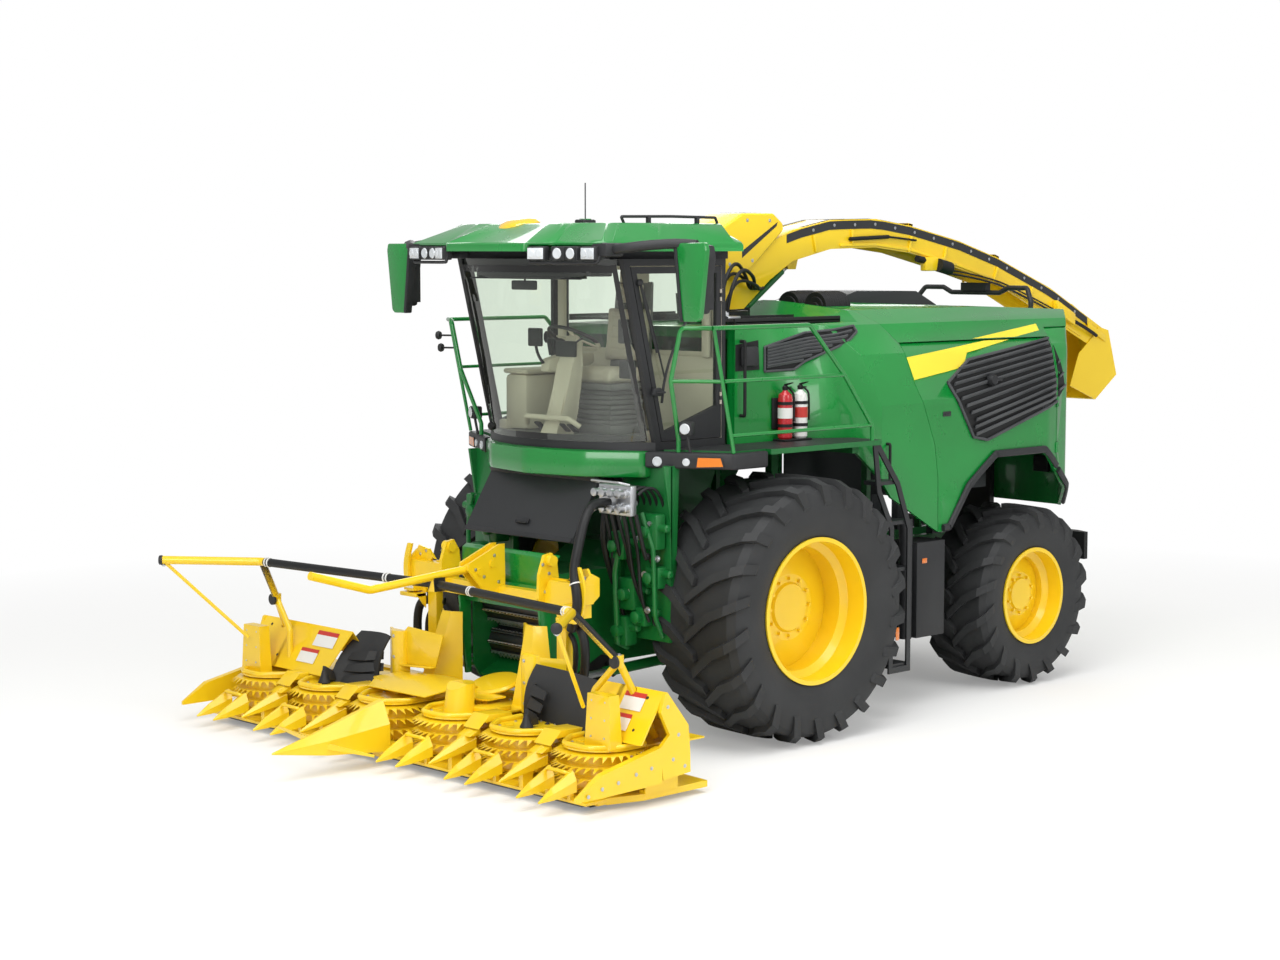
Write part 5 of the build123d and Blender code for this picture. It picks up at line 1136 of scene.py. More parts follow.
def cab_inside():
    """Bellows base of the cushions, armrest with its stick, column foot, pedals, displays and blinds."""
    bm = bmesh.new()
    for k in range(7):
        fold = 0.008 * (k % 2)
        slab(bm, -0.2 + fold, 0.2 - fold, -0.7 + fold, -0.345 - fold, 2.335 + 0.038 * k, 2.37 + 0.038 * k,
             0.01)
    slab(bm, -0.215, 0.215, -0.715, -0.335, 2.262, 2.335, 0.015)
    slab(bm, -0.245, 0.245, -0.745, -0.345, 2.6, 2.652, 0.018)
    prism(bm, [(-0.35, 2.62), (-0.262, 2.62), (-0.235, 3.42), (-0.262, 3.42)], "x", -0.2, 0.2, 0.012)
    piece("seat_frame", bm, "chassis", trim_plastic)
    bm = bmesh.new()
    prism(bm, [(-0.9, 2.73), (-0.88, 2.83), (-0.7, 2.87), (-0.41, 2.87), (-0.4, 2.79), (-0.6, 2.72)], "x",
          -0.385, -0.29, 0.02)
    slab(bm, -0.86, -0.6, -0.85, -0.3, 2.262, 2.7, 0.04)
    slab(bm, -0.87, -0.58, -0.86, -0.26, 2.7, 2.74, 0.02)
    prism(bm, [(-1.19, 2.262), (-0.96, 2.262), (-0.925, 2.45), (-0.88, 2.62), (-0.875, 2.8), (-0.86, 2.98),
               (-0.915, 2.995), (-0.985, 2.8), (-1.03, 2.62), (-1.06, 2.45)], "x", -0.085, 0.085, 0.022)
    slab(bm, -0.86, 0.86, -0.262, -0.244, 2.28, 2.86, 0.006)
    slab(bm, -0.88, 0.88, -1.24, -0.26, 3.553, 3.575, 0.006)
    slab(bm, -0.16, 0.16, -0.262, -0.246, 2.9, 3.5, 0.01)
    for s in (1, -1):
        slab(bm, s * 0.81 - 0.04, s * 0.81 + 0.04, -0.3, -0.262, 2.86, 3.55, 0.015)
        slab(bm, s * 0.83 - 0.045, s * 0.83 + 0.045, -0.9, -0.25, 2.262, 2.34, 0.015)
    tube(bm, rail([(-0.3, -1.1, 2.35), (-0.24, -1.16, 2.41), (0.24, -1.16, 2.41), (0.3, -1.1, 2.35)], 0.04),
         0.02)
    piece("cab_trim_panels", bm, "chassis", beige_trim)
    bm = bmesh.new()
    for s in (-1, 1):
        tube(bm, [(s * 0.05, -0.93, 2.95), (s * 0.12, -0.96, 2.99), (s * 0.19, -0.98, 3.0)], 0.008)
    slab(bm, -0.11, 0.11, -0.985, -0.955, 2.86, 2.98, 0.01)
    slab(bm, 0.62, 0.8, -1.02, -0.985, 2.98, 3.16, 0.012)
    slab(bm, 0.6, 0.76, -0.99, -0.955, 2.72, 2.86, 0.012)
    tube(bm, [(0.74, -1.0, 3.0), (0.8, -1.01, 2.95), (0.855, -1.03, 2.9)], 0.012)
    tube(bm, [(-0.338, -0.82, 2.86), (-0.338, -0.835, 2.93), (-0.335, -0.845, 2.97)], 0.018)
    turned(bm, [(0, 0), (0.026, 0.004), (0.034, 0.03), (0.028, 0.07), (0.012, 0.09), (0, 0.092)],
           (-0.335, -0.85, 2.955), (0, -0.2, 1), 20)
    slab(bm, -0.42, -0.27, -0.99, -0.96, 2.93, 3.07, 0.01)
    tube(bm, [(-0.34, -0.9, 2.8), (-0.345, -0.96, 2.86), (-0.345, -0.97, 2.94)], 0.012)
    for x in (-0.17, 0.1, 0.2):
        prism(bm, [(-1.12, 2.36), (-1.05, 2.3), (-1.04, 2.31), (-1.11, 2.37)], "x", x - 0.035, x + 0.035,
              0.004)
    slab(bm, -0.14, 0.14, -1.395, -1.375, 3.37, 3.44, 0.012)
    tube(bm, [(0, -1.38, 3.44), (0, -1.37, 3.5), (0, -1.33, 3.555)], 0.008)
    slab(bm, 0.3, 0.55, -1.2, -1.0, 3.47, 3.55, 0.012)
    piece("cab_controls", bm, "chassis", black_plastic)
    bm = bmesh.new()
    for x0, x1, y, z0, z1 in (
            (0.635, 0.785, -0.983, 2.995, 3.145), (0.612, 0.748, -0.953, 2.732, 2.848),
            (-0.408, -0.282, -0.958, 2.942, 3.058), (-0.095, 0.095, -0.953, 2.872, 2.968)):
        slab(bm, x0, x1, y, y + 0.002, z0, z1, 0.0008)
    piece("display_faces", bm, "chassis", black_gloss)
    bm = bmesh.new()
    skin(bm, [[(x, -1.385 + 0.1 * (abs(x) / 0.8) ** 2, z) for x in (-0.62, -0.4, -0.2, 0, 0.2, 0.4, 0.62)]
              for z in (3.548, 3.5, 3.455)], 0.002)
    slab(bm, -0.62, 0.62, -1.395, -1.37, 3.45, 3.462)
    piece("sun_blind", bm, "chassis", charcoal_paint)
    bm = bmesh.new()
    skin(bm, [[(-0.86 + 0.172 * k, y, 2.264 + 0.0015 * (k % 2)) for k in range(11)]
              for y in (-0.9, -0.7, -0.5, -0.27)], 0.005)
    skin(bm, [[(-0.6 + 0.12 * k, y, 2.2665) for k in range(11)] for y in (-1.15, -1.02, -0.9)], 0.004)
    piece("floor_mat", bm, "chassis", trim_plastic)
    left = [screen_point(x, 2.262)[:2] for x in (-0.86, -0.6, -0.3, 0, 0.3, 0.6, 0.86)]
    bm = bmesh.new()
    prism(bm, [(x, y + 0.02) for x, y in left] + [(0.86, -0.84), (-0.86, -0.84)], "z", 2.2605, 2.264)
    piece("floor_lining", bm, "chassis", beige_trim)


def mirror_shells():
    """Flared shells round the near and far mirror housings."""
    bm = bmesh.new()
    prism(bm, [(1.5, 3.715), (1.485, 3.66), (1.548, 3.19), (1.575, 3.165), (1.7, 3.165), (1.728, 3.19),
               (1.788, 3.66), (1.775, 3.715)], "y", -1.285, -1.235, 0.012)
    mirrored_x(bm)
    piece("mirror_shells", bm, "chassis", green_enamel)
    bm = bmesh.new()
    prism(bm, [(1.478, 3.68), (1.51, 3.68), (1.572, 3.165), (1.542, 3.165)], "y", -1.295, -1.225, 0.01)
    prism(bm, [(1.52, 3.7), (1.5, 3.62), (1.56, 3.22), (1.71, 3.22), (1.77, 3.62), (1.75, 3.7)], "y", -1.238,
          -1.15, 0.02)
    mirrored_x(bm)
    piece("mirror_bodies", bm, "chassis", black_plastic)


def front_lamps():
    """Amber and round lamps let into the bumper mouldings, the lamps on stalks and the far rail's knobs."""
    line, out = Vector((0.595, 0.327, 0)).normalized(), Vector((0.482, -0.876, 0))

    def spot(t, z, off=0.0):
        return Vector((0.905, -1.02, 0)) + line * t + out * off + Vector((0, 0, z))

    bm = bmesh.new()
    lens, surround = (0.4, 0.6, 2.095, 2.165, 0.004, 2), (0.39, 0.61, 2.088, 2.172, 0.002, 0)
    for t0, t1, z0, z1, depth, index in (lens, surround):
        panel(bm, [spot(t0, z0, depth), spot(t1, z0 + 0.01, depth), spot(t1 - 0.02, z1, depth),
                   spot(t0 + 0.01, z1, depth)], 0.006, index)
    turned(bm, [(0.036, -0.002), (0.036, 0.01), (0.028, 0.014), (0.027, 0.008), (0, 0.011)], spot(0.1, 2.13),
           out, 24, 1)
    turned(bm, [(0.028, -0.002), (0.028, 0.01), (0.02, 0.013), (0, 0.009)], spot(0.32, 2.13), out, 24, 1)
    tube(bm, [(1.2, -0.84, 2.2), (1.2, -0.86, 2.28), (1.2, -0.87, 2.33)], 0.011)
    mirrored_x(bm)
    for s in (1, -1):
        pod(bm, s * 1.2, -0.885, 2.375, 0.1, 0.1, s * 0.4, 1)
    piece("bumper_lamps", bm, "chassis", black_plastic, lamp_lens, amber_lens)
    bm = bmesh.new()
    for z in (2.88, 2.98):
        y = -0.679 - 0.231 * (z - 2.204)
        tube(bm, [(-1.483, y, z), (-1.53, y - 0.03, z), (-1.58, y - 0.05, z)], 0.008)
        turned(bm, [(0, 0), (0.03, 0.004), (0.036, 0.02), (0.03, 0.036), (0, 0.04)], (-1.575, y - 0.05, z),
               (-0.9, -0.4, 0), 20)
    piece("rail_knobs", bm, "chassis", black_plastic)


roof_fittings()
door_fittings()
glass_edge()
padded_seat()
cab_inside()
mirror_shells()
front_lamps()


# ---- body ----
SKIN = {}


def flank_x(y, z):
    """Where the left flank lies at this height and distance from the front axle."""
    if not SKIN:
        made = bmesh.new()
        for name in ("front_body", "rear_hood", "side_door_left", "rear_panel"):
            made.from_mesh(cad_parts[name].data)
        SKIN["tree"] = BVHTree.FromBMesh(made)
        made.free()
    hit = SKIN["tree"].ray_cast(Vector((3, y + AXLE_Y, z)), Vector((-1, 0, 0)))[0]
    return hit.x if hit and hit.x > 0.3 else 1.0


def fitted(bm, outline, lift, thick, index=0, step=0.05):
    """A thin cover laid on the left flank: a (y, z) outline cut into strips that follow its folds."""
    before = set(bm.verts)
    faces = [bm.faces.new([bm.verts.new((0, y, z)) for y, z in outline])]
    for axis in (1, 2):
        low, high = min(p[axis - 1] for p in outline), max(p[axis - 1] for p in outline)
        for k in range(1, int((high - low) / step) + 1):
            at = Vector((0, 0, 0))
            at[axis] = low + k * step
            normal = Vector((0, 1, 0)) if axis == 1 else Vector(UP)
            fresh = [v for v in bm.verts if v not in before]
            edges, cells = {e for v in fresh for e in v.link_edges}, {f for v in fresh for f in v.link_faces}
            bmesh.ops.bisect_plane(bm, geom=[*fresh, *edges, *cells], plane_co=at, plane_no=normal)
    fresh = [v for v in bm.verts if v not in before]
    faces = list({f for v in fresh for f in v.link_faces})
    for v in fresh:
        v.co.x = flank_x(v.co.y, v.co.z) + lift
    for f in faces:
        f.normal_update()
        if f.normal.x < 0:
            f.normal_flip()
    made = bmesh.ops.solidify(bm, geom=faces, thickness=thick)["geom"]
    for f in faces + [g for g in made if isinstance(g, bmesh.types.BMFace)]:
        f.material_index = index


def along_flank(corners, lift, count, side=1):
    """Points along a run of (y, z) corners, this far off the flank."""
    spots = [mix(p, q, k / count) for p, q in zip(corners, corners[1:]) for k in range(count + 1)]
    return [(side * (flank_x(y, z) + lift), y, z) for y, z in spots]


def twin_lines(lines):
    """Lines on the left with their twins on the right."""
    return lines + [[(-x, y, z) for x, y, z in line] for line in lines]


def mix(a, b, t):
    """The point a share t of the way from a to b."""
    return (a[0] + (b[0] - a[0]) * t, a[1] + (b[1] - a[1]) * t)


GRILLE = [(2.02, 2.6), (2.33, 2.775), (3.485, 2.918), (3.485, 2.385), (2.5, 2.112), (2.32, 2.145)]
INTAKE = [(0.17, 2.93), (0.62, 3.03), (1.08, 3.075), (1.09, 3.03), (0.5, 2.75), (0.17, 2.745)]


def grilles():
    """Louvred openings in the flanks, with matt black sheets laid behind the louvres as painted shade inside
    them: the wide rear one crosses from the side door to the tail panel.
    """
    top, low = ((2.3, 2.765), (3.455, 2.905)), ((2.4, 2.135), (3.455, 2.395))
    for side, s in SIDES:
        bm = bmesh.new()
        # a matt black sheet on the flank behind the louvres: painted shade inside the opening
        fitted(bm, GRILLE, 0.002, 0.006)
        to_side(bm, s)
        piece(f"rear_grille_painted_shade_{side}", bm, f"side_door_{side}", matt_black)
        lines = []
        for k in range(10):
            t = (k + 0.5) / 10
            a, b = mix(top[0], low[0], t), mix(top[1], low[1], t)
            start = a[0] - 0.26 * (1 - abs(2 * t - 0.62)) if t < 0.8 else a[0] - 0.05
            a = (max(start, 2.05), a[1] - 0.03 * (1 - t))
            lines.append(along_flank((a, b), 0.016, 10, s))
        bars(f"rear_slats_{side}", f"side_door_{side}", grille_plastic, lines, 0.012, 0.034, 0.003, 0.5)
        lines = [along_flank(run, 0.01, 6, s) for run in (GRILLE[:3], [*GRILLE[3:], GRILLE[0]])]
        bars(f"rear_grille_rim_{side}", f"side_door_{side}", grille_plastic, lines, 0.022, 0.022, 0.004)
    bm = bmesh.new()
    # matt black sheets laid on the flanks behind the louvres and round the intake boxes: painted shade inside
    # the openings
    fitted(bm, [(3.52, 2.86), (3.66, 2.5), (3.52, 2.4)], 0.002, 0.01)
    fitted(bm, [(-0.145, 2.955), (0.105, 2.985), (0.12, 2.76), (-0.145, 2.755)], 0.002, 0.01)
    fitted(bm, INTAKE, 0.002, 0.006)
    mirrored_x(bm)
    piece("intake_painted_shade", bm, "chassis", matt_black)
    lines = [along_flank(((0.19, 2.77 + 0.165 * t), (0.56 + 0.5 * t, 2.8 + 0.255 * t)), 0.014, 10)
             for t in ((k + 0.5) / 7 for k in range(7))]
    lines += [along_flank(((3.525, 2.48 + 0.11 * k), (3.64 - 0.04 * k, 2.51 + 0.11 * k)), 0.014, 3)
              for k in range(3)]
    bars("intake_slats", "chassis", grille_plastic, twin_lines(lines), 0.012, 0.026, 0.003, 0.5)
    bars("intake_rims", "chassis", grille_plastic, twin_lines([along_flank([INTAKE[-1], *INTAKE], 0.008, 5)]),
         0.018, 0.018, 0.004)
    bm = bmesh.new()
    slab(bm, 0.985, 1.03, -0.1, 0.07, 2.79, 2.94, 0.02)
    mirrored_x(bm)
    piece("intake_boxes", bm, "chassis", black_plastic)


def stripes():
    """The plain yellow film along the flank, broken where the door meets the hood."""
    door = [(1.62, 2.635), (2.26, 2.715), (2.335, 2.83), (2.95, 2.919), (2.62, 2.919), (1.57, 2.815)]
    hood = [(2.48, 2.939), (3.05, 2.939), (3.42, 2.985), (3.42, 3.04)]
    for side, s in SIDES:
        for name, body, outline in (("door", f"side_door_{side}", door), ("hood", "chassis", hood)):
            bm = bmesh.new()
            fitted(bm, outline, 0.0012, 0.0016, 0, 0.025)
            to_side(bm, s)
            piece(f"{name}_stripe_{side}", bm, body, stripe_yellow)


def arch_mouldings():
    """Black lips along the rear arches, split where the side doors end, and the doors' catches."""
    arch = [(1.93, 1.43), (2.01, 1.435), (2.26, 1.755), (2.42, 1.865), (2.61, 1.99), (3.28, 1.99),
            (3.485, 1.84)]
    rest = [(3.52, 1.8), (3.61, 1.73), (3.8, 1.575), (3.93, 1.48)]
    for side, s in SIDES:
        bars(f"arch_lip_{side}", f"side_door_{side}", black_plastic, [along_flank(arch, 0.018, 4, s)], 0.035,
             0.06, 0.012)
        bm = bmesh.new()
        for y, z in ((1.98, 2.35), (3.3, 2.35)):
            slab(bm, 1.298, 1.308, y - 0.05, y + 0.05, z - 0.02, z + 0.02, 0.006)
            slab(bm, 1.306, 1.314, y - 0.03, y + 0.03, z - 0.008, z + 0.008, 0.003)
        x = flank_x(2.58, 2.62)
        turned(bm, [(0.045, 0.0), (0.048, 0.03), (0.04, 0.055), (0.034, 0.05), (0, 0.052)],
               (x + 0.02, 2.56, 2.6), (1, 0, 0.1), 24)
        slab(bm, x + 0.005, x + 0.03, 2.62, 2.72, 2.585, 2.615, 0.008)
        to_side(bm, s)
        piece(f"door_catches_{side}", bm, f"side_door_{side}", black_plastic)
    bars("tail_arch_lips", "chassis", black_plastic, twin_lines([along_flank(rest, 0.018, 4)]), 0.035, 0.06,
         0.012)


def roof_deck():
    """Walkway plate with raised slots, and two round filters with finned caps."""
    bm = bmesh.new()
    slab(bm, 0.42, 0.93, -0.1, 1.1, 3.112, 3.128)
    for x in (0.42, 0.915):
        slab(bm, x, x + 0.015, -0.1, 1.1, 3.1, 3.15, 0.003)
    mirrored_x(bm)
    piece("walkway_plates", bm, "chassis", matt_black)
    slots = [(0.47 + 0.065 * j + 0.03 * (i % 2), -0.06 + 0.068 * i, 3.128, *UP, 0, 1, 0)
             for i in range(17) for j in range(7)]
    slots += [(-p[0], *p[1:]) for p in slots]
    repeated("plates", "walkway_slots", "chassis", charcoal_paint, slots, Length=0.045, Width=0.018,
             Corner=0.008, Depth=0.004)
    bm = bmesh.new()
    for x in (0.2, 0.49):
        turned(bm, [(0, 0.0), (0.035, 0.0), (0.04, 0.012), (0.08, 0.006), (0.085, 0.016), (0.12, 0.01),
                    (0.125, 0.022), (0.125, 0.3), (0.1, 0.32), (0, 0.32)], (x, 1.28, 3.205), (0, 1, 0.0), 36)
        for k in range(9):
            turned(bm, [(0.123, 0.045 + 0.027 * k), (0.129, 0.05 + 0.027 * k), (0.129, 0.058 + 0.027 * k),
                        (0.123, 0.063 + 0.027 * k)], (x, 1.28, 3.205), (0, 1, 0), 36)
        slab(bm, x - 0.1, x + 0.1, 1.32, 1.56, 3.05, 3.12, 0.01)
    piece("air_filters", bm, "chassis", matt_black)


def deck_items():
    """Extinguishers on the platform with their cradle, reflectors, tail lamps and side grab handles."""
    for name, y, finish in (("red_extinguisher", 0.33, red_enamel),
                            ("white_extinguisher", 0.5, white_enamel)):
        bm = bmesh.new()
        turned(bm, [(0, 2.225), (0.045, 2.225), (0.056, 2.24), (0.057, 2.53), (0.05, 2.565), (0.022, 2.59),
                    (0.018, 2.6), (0, 2.6)], (1.055, y, 0), UP, 32, 0)
        turned(bm, [(0.022, 2.6), (0.024, 2.625), (0.014, 2.635), (0, 2.635)], (1.055, y, 0), UP, 18, 1)
        prism(bm, [(1.05, 2.63), (1.13, 2.655), (1.135, 2.663), (1.05, 2.648)], "y", y - 0.009, y + 0.009,
              0.002, 1)
        prism(bm, [(1.05, 2.612), (1.12, 2.616), (1.12, 2.624), (1.05, 2.624)], "y", y - 0.008, y + 0.008,
              0.002, 1)
        tube(bm, [(1.045, y + 0.02, 2.62), (1.07, y + 0.075, 2.6), (1.08, y + 0.075, 2.5),
                  (1.085, y + 0.066, 2.36)], 0.008, 1)
        for z in (2.33, 2.5):
            turned(bm, [(0.0575, z - 0.012), (0.06, z - 0.012), (0.06, z + 0.012), (0.0575, z + 0.012)],
                   (1.055, y, 0), UP, 32, 1)
        turned(bm, [(0.0573, 2.385), (0.058, 2.385), (0.058, 2.465), (0.0573, 2.465)], (1.055, y, 0), UP, 32,
               2)
        piece(name, bm, "chassis", finish, matt_black, white_film if finish is red_enamel else red_film)
    bm = bmesh.new()
    slab(bm, 0.984, 1.0, 0.25, 0.58, 2.3, 2.54)
    slab(bm, 0.99, 1.12, 0.26, 0.57, 2.211, 2.226)
    tube(bm, rail([(0.985, -0.09, 2.42), (1.03, -0.09, 2.42), (1.03, -0.09, 2.98), (0.985, -0.09, 2.98)],
                  0.04), 0.013)
    tube(bm, rail([(1.29, 1.24, 1.85), (1.335, 1.24, 1.85), (1.335, 1.24, 2.15), (1.29, 1.24, 2.15)], 0.03),
         0.012)
    for y in (3.99, 4.09):
        slab(bm, 0.7, 0.86, y - 0.05, y, 1.72, 1.86, 0.012)
    piece("deck_brackets", bm, "chassis", matt_black)
    bm = bmesh.new()
    slab(bm, 1.476, 1.482, 1.16, 1.2, 0.62, 0.72, 0.002)
    slab(bm, 1.292, 1.296, 1.7, 1.76, 1.16, 1.2, 0.002)
    mirrored_x(bm)
    piece("side_reflectors", bm, "chassis", amber_lens)
    bm = bmesh.new()
    for z, index in ((2.02, 0), (2.12, 1), (2.22, 0)):
        turned(bm, [(0.042, 0.0), (0.04, 0.018), (0.03, 0.026), (0, 0.03)], (0.6, 4.052, z), (0.25, 1, 0), 24,
               index)
    slab(bm, 0.52, 0.66, 4.005, 4.05, 1.96, 2.28, 0.02, 2)
    mirrored_x(bm)
    piece("tail_lamps", bm, "chassis", red_enamel, amber_lens, black_plastic)


def plumbing():
    """Valve block with couplers, hose runs and green brackets between the shield and the near wheel."""
    bm = bmesh.new()
    slab(bm, 0.69, 1.03, -1.275, -1.215, 1.75, 1.97, 0.008)
    socket = [(0.034, 0), (0.034, 0.03), (0.026, 0.034), (0.026, 0.075), (0.03, 0.078), (0.03, 0.095),
              (0.014, 0.1), (0, 0.1)]
    for i in range(4):
        for z in (1.805, 1.915):
            turned(bm, socket, (0.735 + 0.083 * i, -1.275, z), AHEAD, 20)
    tube(bm, rail([(0.7, -1.28, 1.98), (0.7, -1.36, 2.0), (1.0, -1.36, 2.0), (1.02, -1.28, 1.98)], 0.03),
         0.009)
    piece("coupler_block", bm, "chassis", zinc_steel)
    bm = bmesh.new()
    blocks = ((0.72, -1.06, 1.5, 0.16, 0.14, 0.2), (0.98, -1.02, 1.62, 0.2, 0.1, 0.26),
              (0.76, -0.99, 1.14, 0.18, 0.16, 0.24), (1.0, -0.98, 1.28, 0.14, 0.12, 0.16),
              (0.7, -1.02, 0.86, 0.14, 0.12, 0.22), (0.88, -0.97, 0.98, 0.12, 0.16, 0.14))
    for x, y, z, w, d, h in blocks:
        slab(bm, x - w / 2, x + w / 2, y - d / 2, y + d / 2, z - h / 2, z + h / 2, 0.014)
        turned(bm, [(0.045, 0), (0.045, 0.05), (0.03, 0.06), (0, 0.06)], (x, y - d / 2, z), AHEAD, 20)
        turned(bm, [(0.03, 0), (0.03, 0.07), (0.018, 0.08), (0, 0.08)], (x + w / 2, y, z + 0.03), OUT, 16)
    prism(bm, [(-1.0, 0.9), (-0.96, 0.9), (-0.9, 1.95), (-1.1, 1.95), (-1.1, 1.86), (-0.98, 1.8)], "x", 0.6,
          0.625, 0.004)
    prism(bm, [(-0.93, 1.0), (-0.9, 1.0), (-0.86, 2.1), (-1.02, 2.1), (-0.95, 1.7)], "x", 1.09, 1.11, 0.004)
    slab(bm, 0.6, 1.11, -0.95, -0.93, 0.8, 2.1)
    tube(bm, rail([(0.66, -0.96, 0.72), (0.7, -1.1, 0.78), (0.7, -1.12, 1.3), (0.78, -1.1, 1.72)], 0.06),
         0.022)
    tube(bm, rail([(1.04, -0.96, 0.84), (1.06, -1.06, 1.0), (1.05, -1.07, 1.5), (0.96, -1.1, 1.76)], 0.06),
         0.018)
    mirrored_x(bm)
    piece("valve_bank", bm, "chassis", green_chassis)
    bm = bmesh.new()
    for k in range(6):
        x = 0.7 + 0.065 * k
        low = 0.95 + 0.13 * (k * 7 % 4)
        tube(bm, [(x, -1.22, 1.76), (x + 0.01, -1.19, 1.62), (x - 0.03 + 0.02 * (k % 3), -1.12, 1.45
                - 0.05 * (k % 2)), (x - 0.02, -1.09, low + 0.15), (x, -1.02, low)], 0.013 + 0.003 * (k % 2))
        tube(bm, [(x, -1.2, 1.9), (x, -1.12, 1.96), (x + 0.02, -1.0, 1.92), (x, -0.94, 1.8)], 0.012)
    tube(bm, [(0.6, -1.06, 1.92), (0.64, -1.16, 1.8), (0.63, -1.18, 1.6), (0.6, -1.12, 1.4),
              (0.58, -1.02, 1.2)], 0.024)
    piece("valve_hoses", bm, "chassis", hose_rubber)
    found = [(0.66 + 0.045 * k, -1.04 - 0.01 * (k % 3), 1.04 + 0.155 * (k * 5 % 7) / 1.2, 0.2, -1, 0.1)
             for k in range(10)]
    bolts("valve_fittings", "chassis", zinc_steel, found, 0.017, 0.03, 6)


grilles()
stripes()
arch_mouldings()
roof_deck()
deck_items()
plumbing()


# ---- spout ----
CREST = [(1.1, 3.725), (1.373, 3.825), (1.838, 3.912), (2.41, 3.925), (2.872, 3.868), (3.532, 3.742),
         (4.077, 3.595), (4.876, 3.315), (5.509, 3.02)]


def crest(y, drop=0.0):
    """The chute's top line at this distance, lowered by drop."""
    for (y0, z0), (y1, z1) in zip(CREST, CREST[1:]):
        if y <= y1:
            return z0 + (z1 - z0) * (y - y0) / (y1 - y0) - drop
    return CREST[-1][1] - drop


def strip(ya, yb, drop_a, drop_b, deep):
    """A (y, z) strip between two distances: this far below the top line at each end, and this deep."""
    return [(ya, crest(ya, drop_a)), (yb, crest(yb, drop_b)), (yb, crest(yb, drop_b + deep)),
            (ya, crest(ya, drop_a + deep))]


def arc(y0, y1, drop, count):
    """Points along the chute's top line, lowered by drop."""
    return [(y0 + (y1 - y0) * k / count, crest(y0 + (y1 - y0) * k / count, drop)) for k in range(count + 1)]


def spout_trim():
    """Dark edge band, folded ribs, gas strut in its recess, motor and the flap's drive on the chute."""
    bm = bmesh.new()
    prism(bm, arc(1.3, 5.46, 0.01, 24) + arc(5.46, 1.3, 0.08, 24), "x", 0.1655, 0.1685)
    mirrored_x(bm)
    for x in (-0.15, 0.12):
        prism(bm, arc(1.5, 5.45, -0.004, 24) + arc(5.45, 1.5, 0.001, 24), "x", x, x + 0.03)
    piece("spout_edge_band", bm, "spout", charcoal_paint)
    bm = bmesh.new()
    for y in (1.62, 2.1, 2.87, 3.35, 4.08, 4.6, 5.1):
        lean = (crest(y + 0.05) - crest(y - 0.05)) / 0.1
        depth = 0.225
        prism(bm, [(y - 0.012, crest(y - 0.012, 0.085)), (y + 0.012, crest(y + 0.012, 0.085)),
                   (y + 0.012 + lean * depth * 0.8, crest(y + 0.012) - depth),
                   (y - 0.012 + lean * depth * 0.8, crest(y - 0.012) - depth)], "x", 0.1655, 0.182, 0.003)
    for y in (2.87, 4.08):
        prism(bm, strip(y - 0.03, y + 0.03, -0.001, -0.001, -0.021), "x", -0.165, 0.165, 0.004)
    low = [(1.95, 0.222), (2.41, 0.226), (2.87, 0.216), (3.5, 0.226), (4.05, 0.215), (4.85, 0.262),
           (5.35, 0.235)]
    for (ya, da), (yb, db) in zip(low, low[1:]):
        prism(bm, strip(ya, yb, da, db, -0.024), "x", 0.1655, 0.178, 0.002)
    mirrored_x(bm)
    piece("spout_ribs", bm, "spout", yellow_enamel)
    bm = bmesh.new()
    slab(bm, 0.166, 0.23, 3.0, 3.28, crest(3.14) - 0.335, crest(3.14) - 0.215, 0.012)
    prism(bm, strip(4.92, 5.2, 0.09, 0.09, 0.11), "x", 0.166, 0.225, 0.01)
    prism(bm, [(5.36, crest(5.36) + 0.004), (5.62, 2.975), (5.62, 3.03), (5.36, crest(5.36) + 0.075)], "x",
          -0.06, 0.06, 0.01)
    for s in (1, -1):
        prism(bm, [(5.44, 2.93), (5.72, 2.8), (5.72, 2.86), (5.44, 2.99)], "x", s * 0.19 - 0.006, s * 0.19
              + 0.006, 0.003)
    piece("flap_drive_boxes", bm, "spout", yellow_enamel)
    bm = bmesh.new()
    tube(bm, [(0.185, 2.06, 3.755), (0.185, 2.55, 3.775)], 0.017)
    tube(bm, [(0.185, 2.55, 3.775), (0.185, 2.92, 3.745)], 0.009)
    turned(bm, [(0.058, 0), (0.058, 0.16), (0.045, 0.175), (0, 0.175)], (0.235, 3.16, crest(3.16) - 0.28),
           (0, 1, -0.2), 24)
    turned(bm, [(0.03, 0), (0.03, 0.09), (0, 0.09)], (0.2, 2.92, crest(2.92) - 0.27), (0, 1, -0.15), 20)
    tube(bm, [(0.2, 5.22, 3.0), (0.215, 5.4, 2.93), (0.205, 5.56, 2.86)], 0.016)
    tube(bm, [(0.205, 3.34, 3.46), (0.2, 3.9, 3.4), (0.2, 4.4, 3.26), (0.2, 4.92, 3.08)], 0.009)
    tube(bm, [(0.2, 3.34, 3.49), (0.195, 3.9, 3.43), (0.195, 4.4, 3.29), (0.198, 4.92, 3.11)], 0.007)
    piece("spout_drive_parts", bm, "spout", matt_black)
    heads = [1.62 + 0.26 * k for k in range(15)]
    found = [(0.1685, y, crest(y, 0.045), *OUT) for y in heads]
    bolts("spout_bolts", "spout", zinc_steel, both_sides(found), 0.009, 0.006)


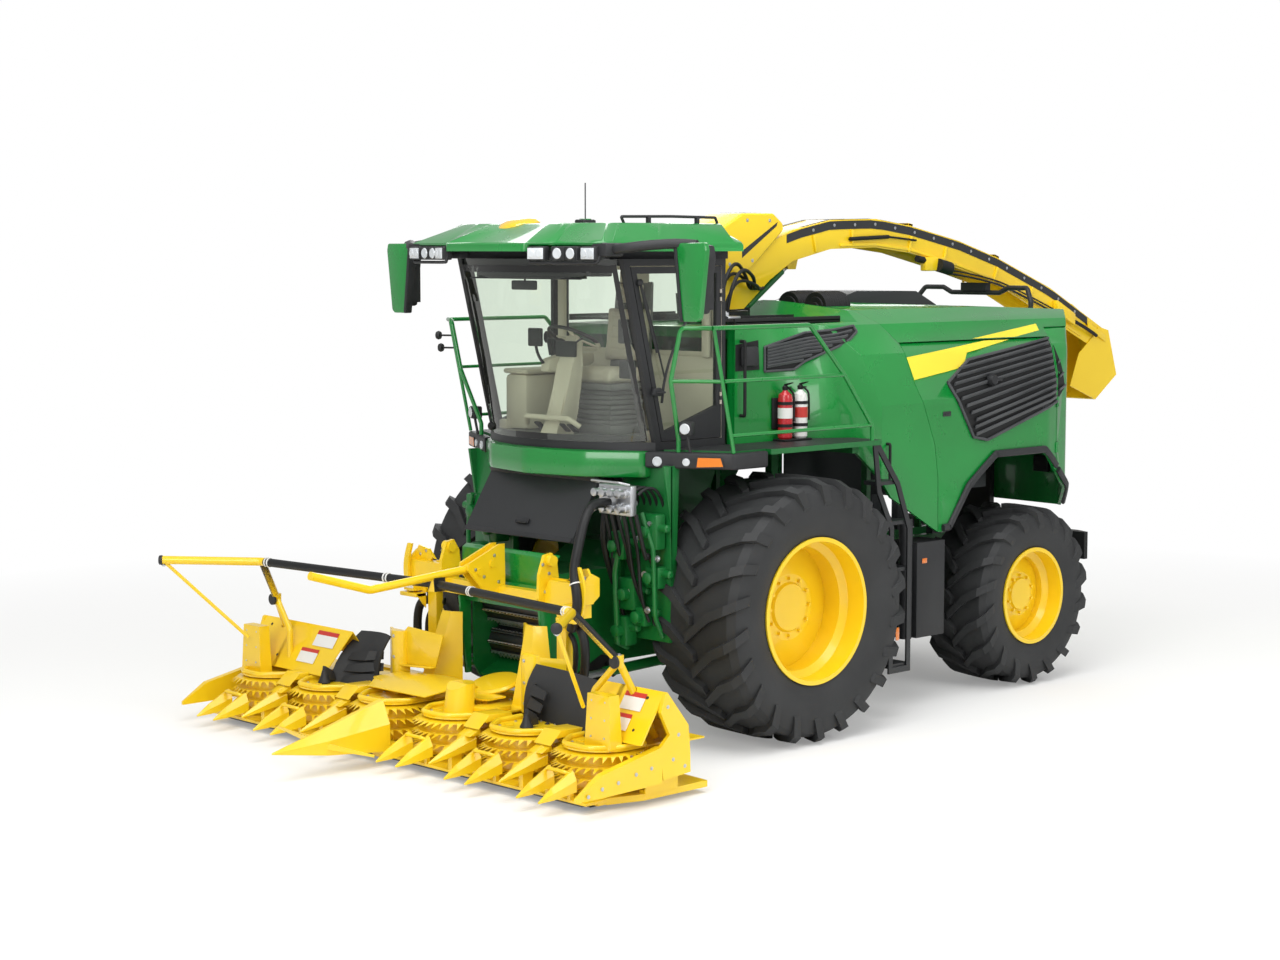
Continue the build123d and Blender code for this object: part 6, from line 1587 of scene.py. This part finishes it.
def cover_trim():
    """Dark plates as painted shade in the vent slots on the spout cover's top and front, and the plain dark
    strip on its side.
    """
    slots = [(0.0, 0.5 + 0.022 * k, 3.58 + 0.048 * k, 0, -0.99, 0.12, *OUT) for k in range(5)]
    slots += [(x, 0.84 + 0.06 * k, 3.9585, *UP, *OUT) for k in range(4) for x in (-0.08, 0.08)]
    # thin matt black plates: painted shade inside the vent slots
    repeated("plates", "cover_slot_painted_shade", "spout", matt_black, slots, Length=0.12, Width=0.016, Corner=0.006,
             Depth=0.002)
    bm = bmesh.new()
    for s in (1, -1):
        prism(bm, [(0.74, 3.6), (1.14, 3.855), (1.155, 3.89), (0.74, 3.655)], "x", s * 0.2005 - 0.0008,
              s * 0.2005 + 0.0008)
    piece("cover_strips", bm, "spout", charcoal_paint)
    heads = [(0.6, 3.55), (0.56, 3.78), (0.8, 3.9), (1.06, 3.9), (0.86, 3.58)]
    bolts("cover_bolts", "spout", zinc_steel, both_sides([(0.2, y, z, *OUT) for y, z in heads]), 0.01, 0.006)


def turret_hoses():
    """Hose loops at the swivel: they rise from the body beside the ring, arch out and reach the chute."""
    loops = ((0.3, 0.2, 0.16), (0.34, 0.28, 0.1), (0.38, 0.14, 0.2), (0.42, 0.23, 0.13))
    for k, (x, lift, reach) in enumerate(loops):
        path = [(x, 0.4 - 0.02 * k, 3.12), (x + 0.01, 0.34, 3.12 + 0.5 * lift), (x + 0.02, 0.4, 3.2 + lift),
                (x - 0.02, 0.55, 3.3 + lift), (x - 0.08, 0.62 + reach, 3.3 + 0.6 * lift),
                (0.21, 0.72 + reach, 3.34), (0.19, 0.8 + reach, 3.36)]
        hose(f"swivel_hose_{k + 1}", path, 0.013 + 0.002 * (k % 2), 3, "turret")
    bm = bmesh.new()
    slab(bm, 0.24, 0.46, 0.32, 0.46, 3.118, 3.15, 0.008)
    for k in range(4):
        turned(bm, [(0.02, 0), (0.02, 0.03), (0.014, 0.04)], (0.3 + 0.04 * k, 0.4 - 0.02 * k, 3.148), UP, 6)
    piece("swivel_manifold", bm, "turret", zinc_steel)


spout_trim()
cover_trim()
turret_hoses()
